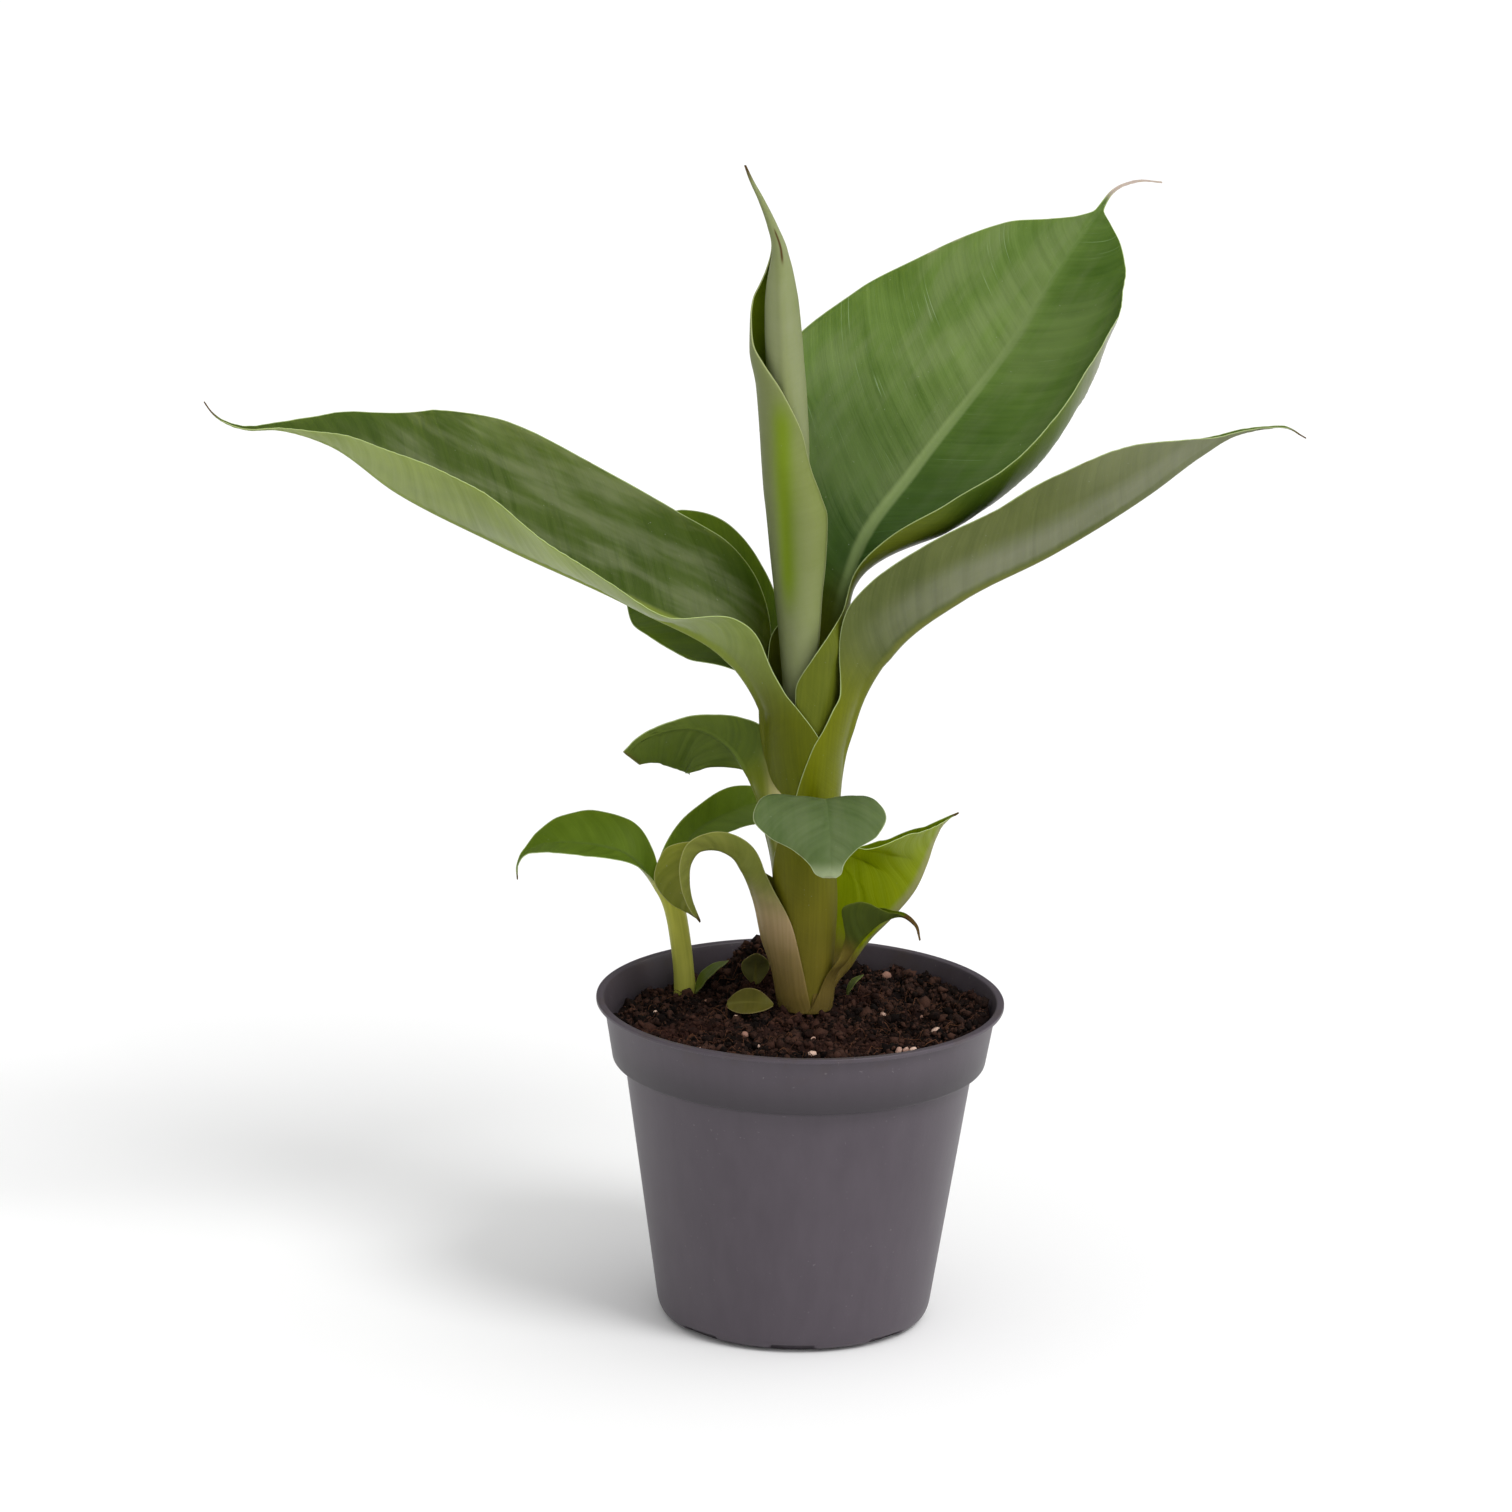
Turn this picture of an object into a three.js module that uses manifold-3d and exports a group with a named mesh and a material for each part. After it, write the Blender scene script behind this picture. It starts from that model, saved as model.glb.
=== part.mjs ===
// Young banana plant in a round nursery pot, in millimetres, +Z up.
// The origin is the centre of the pot's flat underside, +X to the right and +Y to the back.
// Two shoots stand in the soil: the main one, a pseudostem of wrapped leaf sheaths, and a small sucker.
import * as THREE from 'three';
import { mergeVertices } from 'three/addons/utils/BufferGeometryUtils.js';
import Module from 'manifold-3d';

const wasm = await Module();
wasm.setup();

// Driving dimensions
const CLEARANCE = 0.3;

const POT = {
  height: 97, rimRadius: 60, rimInner: 57.8, rimBand: 1.3,
  collarRadius: 57.8, collarFoot: 54.8, collarHeight: 18.6,
  bodyRadius: 51.4, footRadius: 40.2, footCorner: 4, contactRadius: 35.5,
  chamfer: 1.2, chamferRise: 1.4, lipEase: 0.6, step: 1, floorRound: 4,
  wall: 1.2, floor: 1.6, sides: 52,
};
const NOTCH = { count: 8, width: 13.6, height: 2.5, depth: 7, out: 0.5 };
const SOIL = {
  level: 90.7, slopeX: 0.05, slopeY: -0.03, lump: 0.8, edgeGap: 1, wallGap: 0.4,
  rings: 7, sides: 32,
};
// Mounds and dips in the soil: centre, rise and spread
const MOUNDS = [
  { x: -13, y: 44, rise: 9, spread: 7 },
  { x: 41, y: 15, rise: -4, spread: 6.5 },
];

const MAIN = { x: 1.5, y: 12, seat: 90, seatRadius: 12.5 };
const SUCKER = { x: -34, y: 31, seat: 88, seatRadius: 5 };
const CROWN = { x: -39.5, y: 31 };

// Height, sideways offset from the shoot's axis, and radius
const PSEUDOSTEM = [
  [90.3, -0.1, 7.9], [96, -0.3, 8.7], [105, -0.4, 9], [123, -0.5, 9.4],
  [136, -1, 9.8], [154, -1.5, 10.5], [164, -1.9, 11.2], [172, -2.1, 11.9],
];
const SUCKER_STEM = [
  [88.3, 0, 3.1], [96, -0.6, 2.9], [110, -2.6, 3], [120, -4.6, 3], [127, -5.5, 2.8],
];
const SPEAR = [
  [166, -4, 4.2], [200, -5.4, 5.6], [215, -5.6, 6.2], [240, -8.2, 6.4], [265, -10.4, 6.5],
  [285, -12.4, 6.7], [300, -13.4, 6.6], [308, -13, 5.2], [314, -12.6, 3.2], [321, -13, 2],
  [328, -15.2, 1.5], [335, -18.4, 1.1], [341, -21.4, 0.9], [345, -22.8, 0.7],
];
const SPEAR_WRAP = { lip: 0.17, start: 200 };
const STEM_MESH = { sides: 22, steps: 10 };
const SPEAR_MESH = { sides: 16, steps: 22 };
const SUCKER_MESH = { sides: 14, steps: 8 };

// A leaf grows along a rib that stays over one azimuth: its points are the reach from the foot and the height.
// Widths are half-widths in millimetres and fold, curl and roll are degrees, each keyed by the share of
// the rib's length. Fold lifts each half, curl bends it on towards its margin, and roll turns the blade.
const LEAVES = {
  broad_leaf: {
    azimuth: 45, thickness: 2.3, blade: [0.26, 0.83], span: [0.03, 1], steps: 24, colour: 0x3f6134,
    rib: [[9, 165], [10.5, 200], [18.5, 228], [41, 248], [79, 278], [104, 303], [115, 313],
      [122, 319], [131, 320.5], [143, 318.5]],
    left: [[0, 6], [0.16, 5], [0.23, 9], [0.33, 40], [0.45, 52], [0.58, 46], [0.7, 34], [0.78, 21],
      [0.815, 11], [0.84, 1.6], [1, 0.8]],
    right: [[0, 6], [0.16, 5], [0.24, 9], [0.34, 40], [0.48, 51], [0.62, 48.5], [0.74, 31.5], [0.8, 19],
      [0.83, 6], [0.85, 1.4], [1, 0.8]],
    foldLeft: [[0, 50], [0.2, 45], [0.3, 22], [0.5, 12], [0.8, 14], [1, 5]],
    foldRight: [[0, 50], [0.2, 45], [0.3, 22], [0.5, 12], [0.8, 14], [1, 5]],
    curlLeft: [[0, 30], [0.25, 10], [0.5, -10], [0.8, 0]],
    curlRight: [[0, 30], [0.25, 20], [0.4, 70], [0.6, 70], [0.76, 35], [0.85, 0]],
    roll: [[0, 0], [0.2, -10], [0.35, -32], [0.8, -36], [1, -30]],
  },
  right_leaf: {
    azimuth: -6, thickness: 2.1, blade: [0.22, 0.85], span: [0.04, 1], steps: 21, colour: 0x6c7360,
    rib: [[8, 150], [9.5, 172], [14, 188], [24, 203], [43, 217], [69, 230], [97, 249], [112, 263],
      [121, 270.5], [130, 273.5], [136, 274], [142, 271]],
    left: [[0, 8], [0.14, 8], [0.22, 12], [0.32, 21], [0.5, 25], [0.65, 22], [0.77, 14], [0.84, 5],
      [0.88, 2], [1, 0.8]],
    right: [[0, 8], [0.14, 8], [0.22, 12], [0.32, 22], [0.5, 30], [0.65, 28.5], [0.77, 20], [0.84, 8],
      [0.88, 2], [1, 0.8]],
    foldLeft: [[0, 50], [0.3, 55], [0.5, 50], [0.8, 45], [1, 30]],
    foldRight: [[0, 50], [0.3, 66], [0.5, 62], [0.8, 56], [1, 30]],
    curlLeft: [[0, 30], [0.3, 20], [0.6, 14], [1, 0]],
    curlRight: [[0, 30], [0.3, 20], [0.6, 14], [1, 0]],
    roll: [[0, 0]],
  },
  left_leaf: {
    azimuth: 190, thickness: 2.3, blade: [0.2, 0.87], span: [0.03, 1], steps: 24, colour: 0x49662f,
    rib: [[9, 150], [12, 166], [16, 183], [25, 198], [52, 215], [93, 235], [123, 251], [144, 266],
      [158, 270.5], [169, 271], [177, 275], [180, 279]],
    left: [[0, 8], [0.12, 8], [0.19, 10], [0.26, 20], [0.33, 32], [0.42, 35], [0.6, 33], [0.72, 26],
      [0.8, 15], [0.86, 5], [0.9, 2], [1, 0.8]],
    right: [[0, 8], [0.12, 8], [0.2, 17], [0.3, 31], [0.42, 34], [0.6, 37], [0.72, 29], [0.8, 16],
      [0.86, 6], [0.9, 2.2], [1, 0.8]],
    foldLeft: [[0, 50], [0.2, 40], [0.33, 24], [0.5, 34], [0.7, 46], [0.9, 40], [1, 20]],
    foldRight: [[0, 50], [0.25, 40], [0.4, 32], [0.7, 32], [0.9, 25], [1, 20]],
    curlLeft: [[0, 30], [0.25, 24], [0.5, 18], [1, 0]],
    curlRight: [[0, 30], [0.25, 24], [0.5, 18], [1, 0]],
    roll: [[0, 0], [0.25, 10], [0.5, 14], [1, 10]],
  },
  back_leaf: {
    azimuth: 135, thickness: 1.2, blade: [0.24, 0.97], span: [0.06, 1], steps: 14, colour: 0x33502a,
    rib: [[9, 165], [11, 182], [16, 193], [27, 203], [44, 212], [61, 216], [76, 215]],
    left: [[0, 6], [0.2, 8], [0.32, 18], [0.5, 27], [0.7, 28], [0.85, 21], [0.95, 9], [1, 1]],
    right: [[0, 6], [0.2, 6], [0.32, 12], [0.5, 19], [0.7, 19], [0.85, 14], [0.95, 7], [1, 1]],
    foldLeft: [[0, 50], [0.3, 30], [0.6, 14], [1, 10]],
    foldRight: [[0, 50], [0.3, 30], [0.6, 14], [1, 10]],
    curlLeft: [[0, 30], [0.3, 10], [1, 0]],
    curlRight: [[0, 30], [0.3, 10], [1, 0]],
    roll: [[0, 0], [0.25, 20], [0.45, 50], [1, 56]],
  },
  small_left_leaf: {
    azimuth: 178, thickness: 1, blade: [0.44, 0.98], span: [0.1, 1], steps: 15, colour: 0x4b6a2b,
    rib: [[9, 120], [12, 142], [15, 154], [19, 163], [24, 170], [33, 174], [43, 173], [51, 169],
      [54.5, 164]],
    left: [[0, 4], [0.35, 3.2], [0.45, 4], [0.53, 10], [0.63, 15], [0.76, 16], [0.88, 10], [0.96, 5],
      [1, 2.5]],
    right: [[0, 4], [0.35, 3.2], [0.42, 9.5], [0.52, 14.5], [0.62, 12.5], [0.76, 7.5], [0.88, 4.5], [0.96, 3],
      [1, 1.5]],
    foldLeft: [[0, 50], [0.35, 25], [0.55, -14], [1, -20]],
    foldRight: [[0, 50], [0.35, 25], [0.55, -14], [1, -20]],
    curlLeft: [[0, 20], [0.3, 10], [1, -5]],
    curlRight: [[0, 20], [0.3, 10], [1, -5]],
    roll: [[0, 0], [0.4, 15], [0.6, 30], [1, 28]],
  },
  front_leaf: {
    azimuth: 276, shift: 2, thickness: 1, blade: [0.57, 1], span: [0.1, 1], steps: 16, colour: 0x5c7a5e,
    rib: [[9, 118], [10.5, 135], [13, 150], [17, 158.5], [22, 161], [30, 159], [37, 152.5], [42, 143]],
    left: [[0, 4], [0.3, 3.5], [0.57, 3.4], [0.62, 11], [0.68, 15], [0.76, 17], [0.84, 14], [0.89, 8],
      [0.95, 4], [1, 3]],
    right: [[0, 4], [0.3, 3.5], [0.57, 3.4], [0.62, 15], [0.68, 20], [0.76, 22], [0.84, 17.5],
      [0.89, 11], [0.95, 6], [1, 4]],
    foldLeft: [[0, 45], [0.5, 40], [0.6, 9], [0.8, 5], [1, 5]],
    foldRight: [[0, 45], [0.5, 40], [0.6, 9], [0.8, 5], [1, 5]],
    curlLeft: [[0, 20], [0.4, 10], [0.6, -6], [1, -10]],
    curlRight: [[0, 20], [0.4, 10], [0.6, -6], [1, -10]],
    roll: [[0, 0]],
  },
  low_right_leaf: {
    azimuth: 20, thickness: 1, blade: [0.2, 0.91], span: [0.03, 1], steps: 14, colour: 0x88a013,
    rib: [[9, 91], [13, 101], [19, 109.5], [27, 117], [33.5, 124.5], [37, 132], [39.5, 139],
      [42.5, 144], [47, 146.5]],
    left: [[0, 5], [0.2, 9], [0.42, 18], [0.6, 20], [0.78, 10], [0.88, 3], [1, 0.8]],
    right: [[0, 5], [0.2, 11], [0.42, 23], [0.58, 27], [0.7, 22], [0.82, 11], [0.9, 3], [1, 0.8]],
    foldLeft: [[0, 50], [0.3, 55], [0.6, 50], [1, 30]],
    foldRight: [[0, 50], [0.3, 70], [0.6, 70], [1, 30]],
    curlLeft: [[0, 30], [0.3, 8], [1, 0]],
    curlRight: [[0, 30], [0.3, 12], [1, 0]],
    roll: [[0, 0]],
  },
  tiny_right_leaf: {
    azimuth: -25, thickness: 0.8, blade: [0.15, 0.75], span: [0, 1], steps: 11, colour: 0x5d7a1f,
    rib: [[9, 94], [12, 104], [18.5, 113], [26, 118.5], [31, 120.8], [34.5, 119.7], [36, 116.5]],
    left: [[0, 3], [0.2, 6], [0.4, 9], [0.6, 5], [0.75, 1.8], [1, 0.7]],
    right: [[0, 3], [0.2, 6], [0.4, 9], [0.6, 5], [0.75, 1.8], [1, 0.7]],
    foldLeft: [[0, 50], [0.5, 45], [1, 30]],
    foldRight: [[0, 50], [0.5, 45], [1, 30]],
    curlLeft: [[0, 30], [1, 10]],
    curlRight: [[0, 30], [1, 10]],
    roll: [[0, 0]],
  },
  hook_leaf: {
    azimuth: 182, thickness: 1, blade: [0.66, 0.97], span: [0, 1], steps: 22, colour: 0x7c6a45,
    rib: [[9.4, 91], [11, 104], [13, 113], [15.5, 124], [18.2, 131], [22, 137], [28, 139.3],
      [32.5, 138.3], [35, 134.5], [35.4, 129], [34.5, 123.5], [31.5, 116.3]],
    left: [[0, 8], [0.15, 7], [0.3, 5.5], [0.55, 5], [0.7, 6], [0.85, 6], [0.95, 3.5], [1, 0.9]],
    right: [[0, 8], [0.15, 7], [0.3, 5.5], [0.5, 5], [0.6, 7], [0.72, 11], [0.85, 11], [0.95, 6],
      [1, 0.9]],
    foldLeft: [[0, 30], [0.3, 55], [0.6, 65], [0.8, 60], [1, 30]],
    foldRight: [[0, 30], [0.3, 55], [0.6, 65], [0.8, 65], [1, 30]],
    curlLeft: [[0, 50], [0.3, 30], [0.6, 15], [0.8, 5], [1, 10]],
    curlRight: [[0, 50], [0.3, 30], [0.6, 15], [0.8, 5], [1, 10]],
    roll: [[0, 0]],
  },
  sucker_left_leaf: {
    azimuth: 184, thickness: 0.8, blade: [0.24, 0.84], span: [0, 1], steps: 13, colour: 0x52752f,
    rib: [[0.5, 121], [5, 125.5], [13, 131], [19.5, 133.2], [27, 134.3], [33, 134.6], [39, 133.3],
      [43.5, 130.5], [45, 127], [45, 123]],
    left: [[0, 2.4], [0.14, 4], [0.32, 10], [0.46, 11], [0.62, 8.5], [0.76, 4], [0.84, 1.5], [1, 0.8]],
    right: [[0, 2.4], [0.14, 4], [0.32, 9.5], [0.46, 10.5], [0.62, 8.5], [0.76, 4], [0.84, 1.5],
      [1, 0.8]],
    foldLeft: [[0, 40], [0.3, 24], [0.6, 20], [1, 10]],
    foldRight: [[0, 40], [0.3, 20], [0.6, 14], [1, 8]],
    curlLeft: [[0, 20], [0.5, 6], [1, 0]],
    curlRight: [[0, 20], [0.5, 6], [1, 0]],
    roll: [[0, 0], [0.25, 22], [0.8, 26], [1, 10]],
  },
  sucker_right_leaf: {
    azimuth: 25, thickness: 0.8, blade: [0.2, 0.97], span: [0, 1], steps: 11, colour: 0x47692a,
    rib: [[0.2, 122], [4, 130], [9, 135.5], [16, 139], [28, 142.5], [40, 142.5]],
    left: [[0, 2.4], [0.14, 4], [0.3, 6.5], [0.5, 8], [0.7, 8.5], [0.9, 4], [1, 0.8]],
    right: [[0, 2.4], [0.14, 4], [0.3, 7], [0.5, 10], [0.7, 10], [0.9, 5], [1, 0.8]],
    foldLeft: [[0, 40], [0.3, 20], [1, 10]],
    foldRight: [[0, 40], [0.3, 20], [1, 10]],
    curlLeft: [[0, 20], [1, 5]],
    curlRight: [[0, 20], [1, 5]],
    roll: [[0, 0], [0.3, -25], [1, -32]],
  },
};
const HOOK_SPLIT = 0.54;
const HOOK_STEPS = { sheath: 12, blade: 11 };

// How finely a rib is walked, and how a leaf's cross-section is drawn: shares of the half-width that get a
// point, steps of its running sum, and how far the filled channel of stalk and tip pulls in and dips
const RIB_WALK = { points: 400, tangent: 0.004 };
const SECTION = { shares: [0, 0.34, 0.68, 1], fine: 48, pull: 0.8, dip: 0.7, least: 0.3 };
const BLADE_EASE = { start: 0.04, end: 0.03 };
const WELD = 1e-4;

// Scale leaves that stand or lie on the soil: foot, heading, lean from the level, length and half-width
const SCALE_LEAVES = [
  { x: -31, y: 27.5, heading: 20, lean: 42, length: 14, half: 3.2, bow: 1.5 },
  { x: -13.3, y: 31.5, heading: 275, lean: 75, length: 8, half: 3.8, bow: 1.2 },
  { x: -21.5, y: 9.5, heading: -12, lean: 12, length: 14, half: 4.4, bow: 1.8 },
  { x: 13.8, y: 22, heading: 15, lean: 50, length: 8, half: 2, bow: 0.8 },
];
// Their lift off the soil, thickness at the rib and margin, cup, least half-width and steps
const SCALE_SHAPE = { lift: 0.6, thick: 0.9, rim: 0.54, cup: 0.1, least: 0.5, steps: 8 };

// Number helpers
const rad = THREE.MathUtils.degToRad;
const lerp = THREE.MathUtils.lerp;
const smoothstep = THREE.MathUtils.smoothstep;

// Cubic Hermite value at q of a list of [key, value...] rows. Slopes are weighted means of the two
// neighbouring chords, or their harmonic mean where the values must not overshoot.
function curveAt(rows, q, column, overshoot) {
  const last = rows.length - 1;
  if (last === 0 || q <= rows[0][0]) return rows[0][column];
  if (q >= rows[last][0]) return rows[last][column];
  const chord = (i) => (rows[i + 1][column] - rows[i][column]) / (rows[i + 1][0] - rows[i][0]);
  const slope = (i) => {
    if (i === 0) return chord(0);
    if (i === last) return chord(last - 1);
    const [a, b] = [chord(i - 1), chord(i)];
    const [before, after] = [rows[i][0] - rows[i - 1][0], rows[i + 1][0] - rows[i][0]];
    if (overshoot) return (a * after + b * before) / (before + after);
    return a * b > 0 ? (2 * a * b) / (a + b) : 0;
  };
  let i = 0;
  while (q > rows[i + 1][0]) i += 1;
  const h = rows[i + 1][0] - rows[i][0];
  const x = (q - rows[i][0]) / h;
  return (1 + 2 * x) * (1 - x) ** 2 * rows[i][column] + x * (1 - x) ** 2 * h * slope(i)
    + x * x * (3 - 2 * x) * rows[i + 1][column] + x * x * (x - 1) * h * slope(i + 1);
}

const keyed = (rows, q) => curveAt(rows, q, 1, false);

// The rib as a dense polyline of [length so far, reach, height], so that it can be walked by length
function ribLine(rib) {
  let travelled = 0;
  const knots = rib.map(([reach, height], i) => {
    if (i > 0) travelled += Math.hypot(reach - rib[i - 1][0], height - rib[i - 1][1]);
    return [travelled, reach, height];
  });
  const line = [];
  let length = 0;
  for (let k = 0; k < RIB_WALK.points; k += 1) {
    const q = (travelled * k) / (RIB_WALK.points - 1);
    const point = [curveAt(knots, q, 1, true), curveAt(knots, q, 2, true)];
    if (k > 0) length += Math.hypot(point[0] - line[k - 1][1], point[1] - line[k - 1][2]);
    line.push([length, ...point]);
  }
  return line;
}

function walk(line, share) {
  const target = THREE.MathUtils.clamp(share, 0, 1) * line[line.length - 1][0];
  let k = 0;
  while (k < line.length - 2 && line[k + 1][0] < target) k += 1;
  const f = (target - line[k][0]) / (line[k + 1][0] - line[k][0]);
  return [lerp(line[k][1], line[k + 1][1], f), lerp(line[k][2], line[k + 1][2], f)];
}

// Solids
function solidOf(positions, triangles) {
  const geometry = new THREE.BufferGeometry();
  geometry.setAttribute('position', new THREE.Float32BufferAttribute(positions, 3));
  geometry.setIndex(triangles);
  return manifoldOf(geometry);
}

function manifoldOf(geometry) {
  const bare = geometry.clone();
  bare.deleteAttribute('normal');
  bare.deleteAttribute('uv');
  const merged = mergeVertices(bare, WELD);
  const vertProperties = Float32Array.from(merged.attributes.position.array);
  const triVerts = Uint32Array.from(merged.index.array);
  const body = new wasm.Manifold(new wasm.Mesh({ numProp: 3, vertProperties, triVerts }));
  if (body.volume() > 0) return body;
  for (let i = 0; i < triVerts.length; i += 3) {
    [triVerts[i + 1], triVerts[i + 2]] = [triVerts[i + 2], triVerts[i + 1]];
  }
  return new wasm.Manifold(new wasm.Mesh({ numProp: 3, vertProperties, triVerts }));
}

function geometryOf(body) {
  const mesh = body.getMesh();
  const geometry = new THREE.BufferGeometry();
  geometry.setAttribute('position', new THREE.Float32BufferAttribute(mesh.vertProperties, 3));
  geometry.setIndex(Array.from(mesh.triVerts));
  geometry.computeVertexNormals();
  return geometry;
}

// A cut can leave loose scraps, and only the largest piece is kept
function largestPiece(body) {
  return body.decompose().reduce((best, piece) => (piece.volume() > best.volume() ? piece : best));
}

// A closed body through a row of loops with equal counts of points, with flat ends
function loft(loops, flatLoops) {
  const count = loops[0].length;
  const positions = loops.flat().flatMap((p) => [p.x, p.y, p.z]);
  const triangles = [];
  for (let k = 0; k < loops.length - 1; k += 1) {
    for (let i = 0; i < count; i += 1) {
      const [a, b] = [k * count + i, k * count + ((i + 1) % count)];
      triangles.push(a, b, b + count, a, b + count, a + count);
    }
  }
  const first = THREE.ShapeUtils.triangulateShape(flatLoops[0], []);
  const last = THREE.ShapeUtils.triangulateShape(flatLoops[flatLoops.length - 1], []);
  const base = (loops.length - 1) * count;
  const turn = THREE.ShapeUtils.isClockWise(flatLoops[0]) ? 1 : -1;
  const turnEnd = THREE.ShapeUtils.isClockWise(flatLoops[flatLoops.length - 1]) ? 1 : -1;
  for (const [a, b, c] of first) triangles.push(...(turn > 0 ? [a, b, c] : [a, c, b]));
  for (const [a, b, c] of last) {
    triangles.push(...(turnEnd > 0 ? [base + a, base + c, base + b] : [base + a, base + b, base + c]));
  }
  return solidOf(positions, triangles);
}

// One half of a leaf's cross-section: points from the rib to the margin
function halfSection(width, fold, curl) {
  const { shares, fine } = SECTION;
  const points = [];
  let [x, y] = [0, 0];
  let k = 0;
  for (const share of shares) {
    while (k < Math.round(share * fine)) {
      const angle = fold + (curl * (k + 0.5)) / fine;
      x += (Math.cos(angle) * width) / fine;
      y += (Math.sin(angle) * width) / fine;
      k += 1;
    }
    points.push({ x, y, angle: fold + curl * share });
  }
  return points;
}

// The closed outline of a leaf's cross-section, with its own thickness. Along the blade it follows
// the folded sheet, and along the sheath, stalk and tip the channel above the sheet is filled.
function leafOutline(leaf, s, grow) {
  const [bladeStart, bladeEnd] = leaf.blade;
  const open = smoothstep(s, bladeStart - BLADE_EASE.start, bladeStart + BLADE_EASE.start)
    * (1 - smoothstep(s, bladeEnd - BLADE_EASE.end, bladeEnd + BLADE_EASE.end));
  const halfThick = leaf.thickness / 2 + grow;
  const lower = [];
  const upper = [];
  for (const side of [-1, 1]) {
    const name = side < 0 ? 'Left' : 'Right';
    const width = keyed(side < 0 ? leaf.left : leaf.right, s) + grow;
    const fold = rad(keyed(leaf[`fold${name}`], s));
    const curl = rad(keyed(leaf[`curl${name}`], s));
    const half = halfSection(width, fold, curl);
    const margin = half[half.length - 1];
    const outer = [];
    const inner = [];
    half.forEach((p, i) => {
      const bend = i === 0 ? 0 : p.angle;
      outer.push([side * (p.x + Math.sin(bend) * halfThick), p.y - Math.cos(bend) * halfThick]);
      const sheetX = Math.max(p.x - Math.sin(bend) * halfThick, SECTION.least * p.x);
      const sheetY = p.y + Math.cos(bend) * halfThick;
      const filledX = SECTION.pull * p.x;
      const filledY = Math.max(p.y, margin.y * lerp(SECTION.dip, 1, SECTION.shares[i])) + halfThick;
      inner.push([side * lerp(filledX, sheetX, open), lerp(filledY, sheetY, open)]);
    });
    lower.push(outer);
    upper.push(inner);
  }
  return [
    ...lower[0].slice(1).reverse(), ...lower[1],
    ...upper[1].slice(1).reverse(), ...upper[0],
  ];
}

// A leaf between two shares of its rib, round its own shoot's axis
function leafBody(leaf, from, to, steps, grow = 0) {
  const line = ribLine(leaf.rib);
  const outward = new THREE.Vector3(Math.cos(rad(leaf.azimuth)), Math.sin(rad(leaf.azimuth)), 0);
  const up = new THREE.Vector3(0, 0, 1);
  const loops = [];
  const flats = [];
  for (let k = 0; k <= steps; k += 1) {
    const s = lerp(from, to, k / steps);
    const [reach, height] = walk(line, s);
    const [r0, h0] = walk(line, s - RIB_WALK.tangent);
    const [r1, h1] = walk(line, s + RIB_WALK.tangent);
    const along = outward.clone().multiplyScalar(r1 - r0).addScaledVector(up, h1 - h0).normalize();
    const face = outward.clone().multiplyScalar(h0 - h1).addScaledVector(up, r1 - r0).normalize();
    const across = along.clone().cross(face);
    const roll = rad(keyed(leaf.roll, s));
    const side = across.clone().multiplyScalar(Math.cos(roll)).addScaledVector(face, Math.sin(roll));
    const top = face.clone().multiplyScalar(Math.cos(roll)).addScaledVector(across, -Math.sin(roll));
    const centre = outward.clone().multiplyScalar(reach).addScaledVector(up, height);
    centre.x += leaf.shift ?? 0;
    const outline = leafOutline(leaf, s, grow);
    loops.push(outline.map(([x, y]) => centre.clone().addScaledVector(side, x).addScaledVector(top, y)));
    flats.push(outline.map(([x, y]) => new THREE.Vector2(x, y)));
  }
  return loft(loops, flats);
}

// A round limb through rows of [height, sideways offset, radius], as seen from above
function limbBody(rows, { sides, steps }, grow = 0, radiusAt = () => 1) {
  const loops = [];
  const flats = [];
  const [low, high] = [rows[0][0], rows[rows.length - 1][0]];
  for (let k = 0; k <= steps; k += 1) {
    const z = lerp(low, high, k / steps);
    const [offset, radius] = [curveAt(rows, z, 1, true), curveAt(rows, z, 2, false) + grow];
    const flat = [];
    for (let i = 0; i < sides; i += 1) {
      const turn = (2 * Math.PI * i) / sides;
      const r = radius * radiusAt(i / sides);
      flat.push(new THREE.Vector2(offset + r * Math.cos(turn), r * Math.sin(turn)));
    }
    flats.push(flat);
    loops.push(flat.map((p) => new THREE.Vector3(p.x, p.y, z)));
  }
  return loft(loops, flats);
}

// Height of the inner face's step, a wall's thickness above the collar's underside
function innerStep() {
  return POT.height - POT.collarHeight + POT.wall;
}

// The pot wall's inner face from the rim down to the floor: radius and height
function innerFace() {
  const p = POT;
  return [
    [p.rimInner, p.height], [p.rimInner - p.lipEase, p.height - p.rimBand - p.step],
    [p.collarFoot - p.wall, innerStep() + p.step], [p.bodyRadius - p.wall, innerStep()],
    [p.footRadius - p.wall, p.footCorner + p.step], [p.footRadius - p.floorRound, p.floor],
  ];
}

// The pot: one wall turned round its axis, with drainage notches cut across its foot corner
function potBody() {
  const p = POT;
  const under = p.height - p.collarHeight;
  const profile = [
    [0, 0], [p.contactRadius, 0], [p.footRadius - p.chamfer, p.chamferRise], [p.footRadius, p.footCorner],
    [p.bodyRadius, under], [p.collarFoot, under], [p.collarRadius, p.height - p.rimBand],
    [p.rimRadius, p.height - p.rimBand], [p.rimRadius, p.height], ...innerFace(), [0, p.floor],
  ].map(([r, z]) => new THREE.Vector2(r, z));
  const turned = new THREE.LatheGeometry(profile, p.sides).rotateX(Math.PI / 2);
  let pot = manifoldOf(turned);
  for (let i = 0; i < NOTCH.count; i += 1) {
    const turn = (2 * Math.PI * i) / NOTCH.count;
    const notch = new THREE.BoxGeometry(NOTCH.depth, NOTCH.width, 2 * NOTCH.height);
    notch.translate(p.footRadius + NOTCH.out, 0, 0).rotateZ(turn);
    pot = pot.subtract(manifoldOf(notch));
  }
  return pot;
}

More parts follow.
